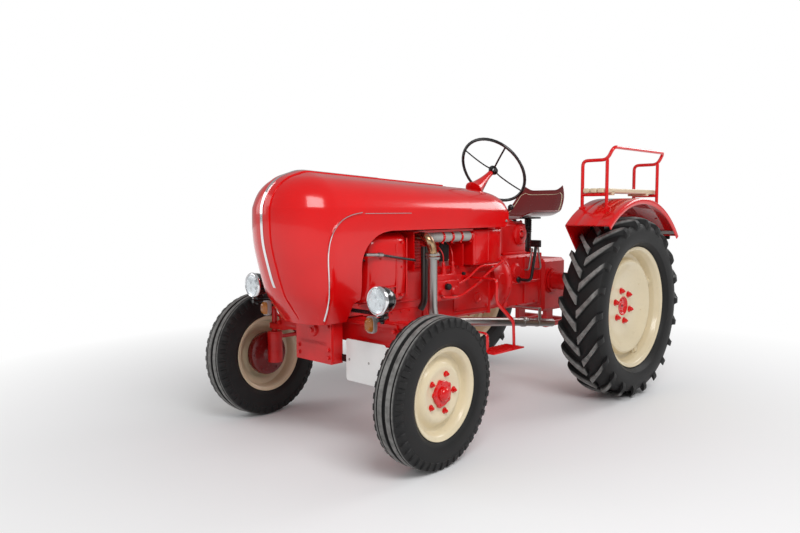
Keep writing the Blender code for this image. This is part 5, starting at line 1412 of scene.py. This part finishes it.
def makeRail():
    radius = rail["radius"]
    low = {y: crownHeight(y) for y in (rail["front"], rail["rear"])}
    shape = Shape()
    front = rail["front"]
    rear = rail["rear"]
    half = ((rail["inner"], rail["arm"]), (rail["outer"], rail["arm"]), (rail["backX"], rail["backZ"]))
    path = [(rail["inner"], front, low[front] - 0.002)] + [(x, front, z) for x, z in half]
    path += [(x, rear, z) for x, z in half[::-1]] + [(rail["inner"], rear, low[rear] - 0.002)]
    shape.bar(path, radius * 0.98, 14, 0.035)
    for y in (rail["front"], rail["rear"]):
        shape.bar([(rail["outer"], y, low[y] - 0.002), (rail["outer"], y, rail["arm"] + 0.002)],
            radius * 0.95, 14)
        for x in (rail["inner"], rail["outer"]):
            shape.lathe(railTurned["foot"], (x, y, low[y] + 0.002), (0, y - wheelbase, low[y] - rearAxleZ),
                20)
        barZ = rail["slatTop"] - rail["slat"] - radius
        shape.bar([(rail["inner"], y, barZ), (rail["outer"], y, barZ)], radius * 0.95, 14)
    shape.done("passengerRail", "red", "passenger_rail")
    shape = Shape()
    start = rail["inner"] + radius + 0.004
    width = (rail["outer"] - rail["inner"] - 2 * radius - 0.008 - 0.024) / 3
    for index in range(3):
        x = start + (width + 0.012) * index
        shape.block((x, rail["front"] - 0.02, rail["slatTop"] - rail["slat"]),
            (x + width, rail["rear"] + 0.02, rail["slatTop"] - 0.0006), 0.005, 3)
    for y in (rail["front"] + 0.1, rail["rear"] - 0.12):
        shape.block((start, y, rail["slatTop"] - rail["slat"] - 0.014),
            (start + 3 * width + 0.024, y + 0.03, rail["slatTop"] - rail["slat"] + 0.012), 0.003)
    shape.done("benchSlats", "wood", "passenger_bench")
    shape = Shape()
    for y in (rail["front"] + 0.115, rail["rear"] - 0.105):
        for index in range(3):
            x = start + (width + 0.012) * index + width / 2
            shape.lathe(railTurned["bolt"], (x, y, rail["slatTop"] - 0.0016), (0, 0, 1), 16)
    shape.done("benchBolts", "steel")


lamp = {"x": 0.496, "z": 0.784, "front": -0.203, "depth": 0.112, "lens": 0.0595, "signalX": 0.418}


def signalRings(shape, centre, rows):
    rings = []
    for deep, size in rows:
        ring = []
        for corner in range(32):
            angle = math.tau * (corner + 0.5) / 32
            ring.append(centre + Vector((0.027 * size * squarer(math.cos(angle), 0.55), -deep,
                0.041 * size * squarer(math.sin(angle), 0.55) - 0.008)))
        rings.append(ring)
    shape.loft(rings)


lampTurned = {"nut": ((0, 20), (10, 20), (14, 10), (14, 0), (0, 0)),
    "rim": ((66.5, 92.5), (69.5, 93), (70.5, 96), (69.8, 100), (66.5, 104.5), (62, 106), (59, 104),
    (60, 99.5)), "mirror": ((0, 94.5), (20, 94.8), (45, 96.5), (60, 101), (60, 99.5), (45, 95), (20, 94.3),
    (0, 94.1)), "bulb": ((0, 98), (8, 96), (10, 90), (0, 88))}


def makeLamps(side, name):
    back = spot(side * lamp["x"], lamp["front"] + lamp["depth"], lamp["z"])
    bowl = [(0, 0.0)] + [(0.066 * math.sin(math.pi / 2 * step / 12) ** 0.9,
        0.08 * (1 - math.cos(math.pi / 2 * step / 12))) for step in range(1, 13)] + [(0.0665, 0.086),
        (0.067, 0.094), (0.0, 0.094)]
    shape = Shape()
    shape.turn(bowl, back, (0, -1, 0), 48)
    shape.lathe(lampTurned["nut"], back + Vector((0, -0.045, -0.052)), (0, 0, -1), 20)
    shape.done("lampBowl" + name, "blackGloss", "headlight_" + name.lower())
    shape = Shape()
    shape.lathe(lampTurned["rim"], back, (0, -1, 0), 56)
    shape.block(back + Vector((-0.006, -0.1, -0.0735)), back + Vector((0.006, -0.086, -0.066)), 0.002)
    shape.done("lampRim" + name, "chrome")
    shape = Shape()
    shape.lathe(lampTurned["mirror"], back, (0, -1, 0), 48)
    shape.lathe(lampTurned["bulb"], back, (0, -1, 0), 20)
    shape.done("lampMirror" + name, "mirror")
    shape = Shape()
    size = lamp["lens"]
    rows = []
    for ring in range(13):
        reach = size * ring / 12
        row = []
        for step in range(72):
            x = reach * math.cos(math.tau * step / 72)
            flute = 0.0008 * math.cos(x * 1000) if 2 < ring < 12 else 0
            dome = 0.1025 + 0.008 * (1 - (reach / size) ** 2) + flute
            row.append(back + Vector((0, -dome, 0)) + Vector((x, 0, reach * math.sin(math.tau * step / 72))))
        rows.append(row)
    rows[0] = [back + Vector((0, -0.1105, 0))] * 72
    flat = [[point + Vector((0, 0.0022, 0)) for point in row] for row in reversed(rows)]
    shape.loft(rows + flat, caps=False)
    shape.done("lampLens" + name, "glass", sharp=60)
    shape = Shape()
    shape.bar([(side * gearboxWall, -0.045, 0.695), (side * 0.3, -0.045, 0.695),
        (side * 0.46, -0.085, 0.695), (side * lamp["x"], lamp["front"] + 0.049, 0.695),
        (side * lamp["x"], lamp["front"] + 0.013, 0.695)], 0.0105, 12, 0.03)
    foot = lamp["front"] + 0.045
    shape.bar([(side * lamp["x"], foot, 0.69), (side * lamp["x"], foot, lamp["z"] - 0.058)], 0.0095, 12)
    shape.block((side * lamp["x"] - 0.02, foot - 0.016, lamp["z"] - 0.074),
        (side * lamp["x"] + 0.02, foot + 0.016, lamp["z"] - 0.062), 0.003)
    shape.bolt((side * lamp["x"], foot, 0.683), (0, 0, -1), 0.009, 0.009)
    shape.bar([(side * lamp["signalX"], -0.065, 0.69), (side * lamp["signalX"], -0.132, 0.67)], 0.0088, 12)
    shape.done("lampBracket" + name, "black", "lamp_bracket_" + name.lower())
    centre = spot(side * lamp["signalX"], -0.135, 0.67)
    shape = Shape()
    signalRings(shape, centre, ((0.0, 0.8), (0.004, 0.96), (0.01, 1.0), (0.024, 1.0), (0.028, 0.97),
        (0.0285, 0.86)))
    shape.done("signalHousing" + name, "paleGrey")
    shape = Shape()
    ribs = [(0.02, 0.85), (0.03, 0.85)]
    for rib in range(4):
        ribs += [(0.0335 + rib * 0.0045, 0.84 - rib * 0.075), (0.0345 + rib * 0.0045, 0.8 - rib * 0.075)]
    signalRings(shape, centre, ribs + [(0.0518, 0.4)])
    shape.done("signalLens" + name, "amber", "signal_" + name.lower())
    tail = fenderPoint(side, 0.7, fender["radius"], math.radians(fender["rear"]))
    shape = Shape()
    shape.block(tail + Vector((-0.035, 0.0003, -0.03)), tail + Vector((0.035, 0.011, 0.03)), 0.006, 3)
    shape.done("tailHousing" + name, "black")
    shape = Shape()
    shape.block(tail + Vector((-0.031, 0.009, -0.026)), tail + Vector((0.031, 0.0225, 0.026)), 0.005, 3)
    for rib in range(5):
        shape.block(tail + Vector((-0.029, 0.0222, -0.021 + rib * 0.009)),
            tail + Vector((0.029, 0.0243, -0.016 + rib * 0.009)), 0.001, 1)
    shape.done("tailLens" + name, "ruby", "tail_lamp_" + name.lower())


plate = {"screw": ((0, 2.8), (4, 2.4), (6.5, 0), (6.5, -2), (0, -2))}


def makePlate():
    y = -0.096
    shape = Shape()
    rings = []
    for deep, ease in ((-0.0003, 0.0), (-0.0026, 0.0), (-0.0033, 0.0008)):
        ring = []
        for cornerX, cornerZ, start in ((0.456, 0.56, 0), (0.176, 0.56, 90), (0.176, 0.35, 180),
                (0.456, 0.35, 270)):
            inX = cornerX - 0.014 if cornerX > 0.3 else cornerX + 0.014
            inZ = cornerZ - 0.014 if cornerZ > 0.45 else cornerZ + 0.014
            ring += [spot(inX + (0.014 - ease) * math.cos(math.radians(start + 15 * step)), y + deep,
                inZ + (0.014 - ease) * math.sin(math.radians(start + 15 * step))) for step in range(7)]
        rings.append(ring)
    shape.loft(rings)
    shape.done("numberPlate", "white", "number_plate")
    shape = Shape()
    for x, z in ((0.2, 0.457), (0.34, 0.457)):
        shape.lathe(plate["screw"], (x, y - 0.0033, z), (0, -1, 0), 16)
    shape.done("plateScrews", "steel")


footStep = {"x": 0.4, "half": 0.065, "front": 0.738, "rear": 1.035, "low": 0.388, "ribs": 9, "pitch": 0.03}


stepTurned = {"boss": ((0, 10), (22, 10), (26, 4), (26, 0), (0, 0))}


def makeStep(side, name):
    x = side * footStep["x"]
    shape = Shape()
    shape.bar([(side * 0.1503, 0.85, 0.8), (x, 0.85, 0.8), (x, 0.848, 0.669), (x, 1.014, 0.541),
        (x, 1.022, 0.398)], 0.0065, 12, 0.03, 0.0125)
    shape.bar([(x, 0.764, 0.398), (x, 0.764, 0.5), (side * 0.125, 0.764, 0.5),
        (side * 0.125, 0.764, 0.5597)], 0.0065, 12, 0.03, 0.0115)
    shape.block((x - footStep["half"], footStep["front"], footStep["low"]),
        (x + footStep["half"], footStep["rear"], 0.3975), 0.003)
    for rib in range(footStep["ribs"]):
        y = footStep["front"] + 0.02 + rib * footStep["pitch"]
        shape.block((x - footStep["half"] + 0.008, y, 0.396),
            (x + footStep["half"] - 0.008, y + 0.01, 0.4015), 0.0015, 1)
    shape.lathe(stepTurned["boss"], (side * 0.1503, 0.85, 0.8), (side, 0, 0), 28)
    shape.bolts([(x, y, footStep["low"]) for y in (1.022, 0.764)], (0, 0, -1), 0.008, 0.006)
    shape.done("footStep" + name, "red", "foot_step_" + name.lower())


hitch = {"ring": ((10, 1.5), (14, 1.5), (14, -31.5), (10, -31.5)),
    "boss": ((0, 12), (17, 10), (20, 4), (20, 0), (0, 0))}


def makeHitch():
    start = 1.9803
    shape = Shape()
    shape.bolts([(x, start + 0.05, z) for x, z in ((-0.11, 0.54), (0.11, 0.54), (-0.11, 0.66),
        (0.11, 0.66))], (0, 1, 0), 0.01, 0.01)
    for side in (-1, 1):
        shape.bar([(side * 0.115, start + 0.052, 0.55), (side * 0.115, start + 0.052, 0.65)], 0.004, 8,
            wide=0.006)
        for x in (0.3, 0.22, 0.14, 0.06):
            shape.lathe(hitch["ring"], (side * x, 2.105, 0.4103), (0, 0, 1), 24)
    shape.lathe(hitch["boss"], (0, start + 0.12, 0.64), (0, 0, 1), 24)
    shape.done("hitchBolts", "steel")
    shape = Shape()
    rings = []
    for y in (start + 0.0002, start + 0.03, start + 0.034, start + 0.084, start + 0.0895):
        ring = []
        for tooth in range(6):
            for part, reach in ((0.0, 0.015), (0.3, 0.015), (0.42, 0.0174), (0.88, 0.0174)):
                angle = math.tau * (tooth + part) / 6
                reach = 0.015 if y < start + 0.032 else (reach - 0.002 if y > start + 0.088 else reach)
                ring.append(spot(reach * math.cos(angle), y, 0.76 + reach * math.sin(angle)))
        rings.append(ring)
    shape.loft(rings)
    shape.done("powerShaft", "steel", "power_shaft")


tieRod = {"eye": ((9.2, 10), (16, 11.5), (19.5, 8), (19.5, -8), (16, -11.5), (9.2, -10))}


def makeTieRod():
    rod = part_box("tie_rod")
    centre = (Vector(rod[0]) + Vector(rod[1])) / 2
    shape = Shape(centre)
    left = Vector((rod[1][0] - 0.02, 0, 0)) - Vector((centre.x, 0, 0))
    slant = Vector((0, (rod[1][1] - rod[0][1] - 0.04) / 2, 0))
    right = Vector((rod[0][0] + 0.02, 0, 0)) - Vector((centre.x, 0, 0))
    leftEnd = left + slant
    rightEnd = right - slant
    along = (leftEnd - rightEnd).normalized()
    shape.bar([rightEnd, leftEnd], 0.0105, 20)
    for end, way in ((leftEnd, -1), (rightEnd, 1)):
        shape.bar([end + along * way * 0.045, end + along * way * 0.075], 0.0145, 6)
        shape.bar([end, end + along * way * 0.045], 0.0125, 16)
        shape.lathe(tieRod["eye"], end, (0, 0, 1), 32)
    shape.done("tieRod", "black", "tie_rod", body="tie_rod")


makeDriveLine()
makeControls()
makeCowl()
makeSteering()
makeSeat()
makeRail()
for pieceSide, pieceName in sides:
    makeFender(pieceSide, pieceName)
    makeLamps(pieceSide, pieceName)
    makeStep(pieceSide, pieceName)
makePlate()
makeHitch()
makeTieRod()
print("drive line, seat, fenders and lamps made")

# Floor, light and camera
stage = {"floorSize": 60.0, "floorColour": (0.86, 0.86, 0.87), "fadeStart": 1.2, "fadeWidth": 2.6,
    "eye": (2.812, -3.391, 1.199), "turn": (85.41, 0.19, 44.22), "lens": 31.97, "world": 0.38,
    "key": 120.0, "fill": 30.0, "rim": 80.0}


def makeFloor():
    bpy.ops.mesh.primitive_plane_add(size=stage["floorSize"])
    floor = bpy.context.object
    floor.name = "floor"
    made = Finish("paleFloor", Roughness=0.75, Specular_IOR_Level=0.2)
    cloud = made.noise(1.5, 3.0, 0.5)
    made.set(Base_Color=made.mix(cloud * 0.06, stage["floorColour"], (0.74, 0.74, 0.75)))
    reach = made.node("VectorMath", {"operation": "LENGTH"}, "Value", i0=made.place())
    glow = made.node("Emission", Color=(1.0, 1.0, 1.0), Strength=1.0)
    far = reach.above(stage["fadeStart"], stage["fadeWidth"])
    surface = Wire(made.tree, made.shader.outputs["BSDF"])
    mixed = made.node("MixShader", i0=far, i1=surface, i2=glow)
    made.tree.links.new(mixed.socket, made.tree.nodes["Material Output"].inputs["Surface"])
    floor.data.materials.append(made.material)


def makeLight(name, place, aim, size, power):
    light = bpy.data.lights.new(name, "AREA")
    light.shape = "RECTANGLE"
    light.size, light.size_y = size
    light.energy = power
    made = bpy.data.objects.new(name, light)
    made.location = place
    made.rotation_euler = (Vector(aim) - Vector(place)).to_track_quat("-Z", "Y").to_euler()
    bpy.context.scene.collection.objects.link(made)


def makeWorld():
    world = bpy.data.worlds.new("studio")
    bpy.context.scene.world = world
    world.use_nodes = True
    tree = world.node_tree
    back = tree.nodes["Background"]
    back.inputs["Color"].default_value = (1, 1, 1, 1)
    path = tree.nodes.new("ShaderNodeLightPath")
    seen = Wire(tree, path.outputs["Is Camera Ray"]).maths("MAXIMUM",
        Wire(tree, path.outputs["Is Transmission Ray"]))
    tree.links.new((seen * (1 - stage["world"]) + stage["world"]).socket, back.inputs["Strength"])


def makeCamera():
    data = bpy.data.cameras.new("camera")
    data.lens = stage["lens"]
    data.sensor_width = 36
    data.clip_end = 200
    camera = bpy.data.objects.new("camera", data)
    camera.location = stage["eye"]
    camera.rotation_euler = [math.radians(angle) for angle in stage["turn"]]
    bpy.context.scene.collection.objects.link(camera)
    bpy.context.scene.camera = camera


makeFloor()
makeLight("key", (3.2, -2.2, 3.6), (0, 0, 0.7), (2.6, 1.8), stage["key"])
makeLight("fill", (-3.4, -3.4, 2.4), (0, -0.4, 0.8), (2.4, 2.4), stage["fill"])
makeLight("rim", (1.5, 4.2, 3.2), (0, 0, 0.8), (3.0, 1.6), stage["rim"])
makeWorld()
makeCamera()
bpy.context.scene.view_settings.view_transform = "Standard"
print("stage ready")
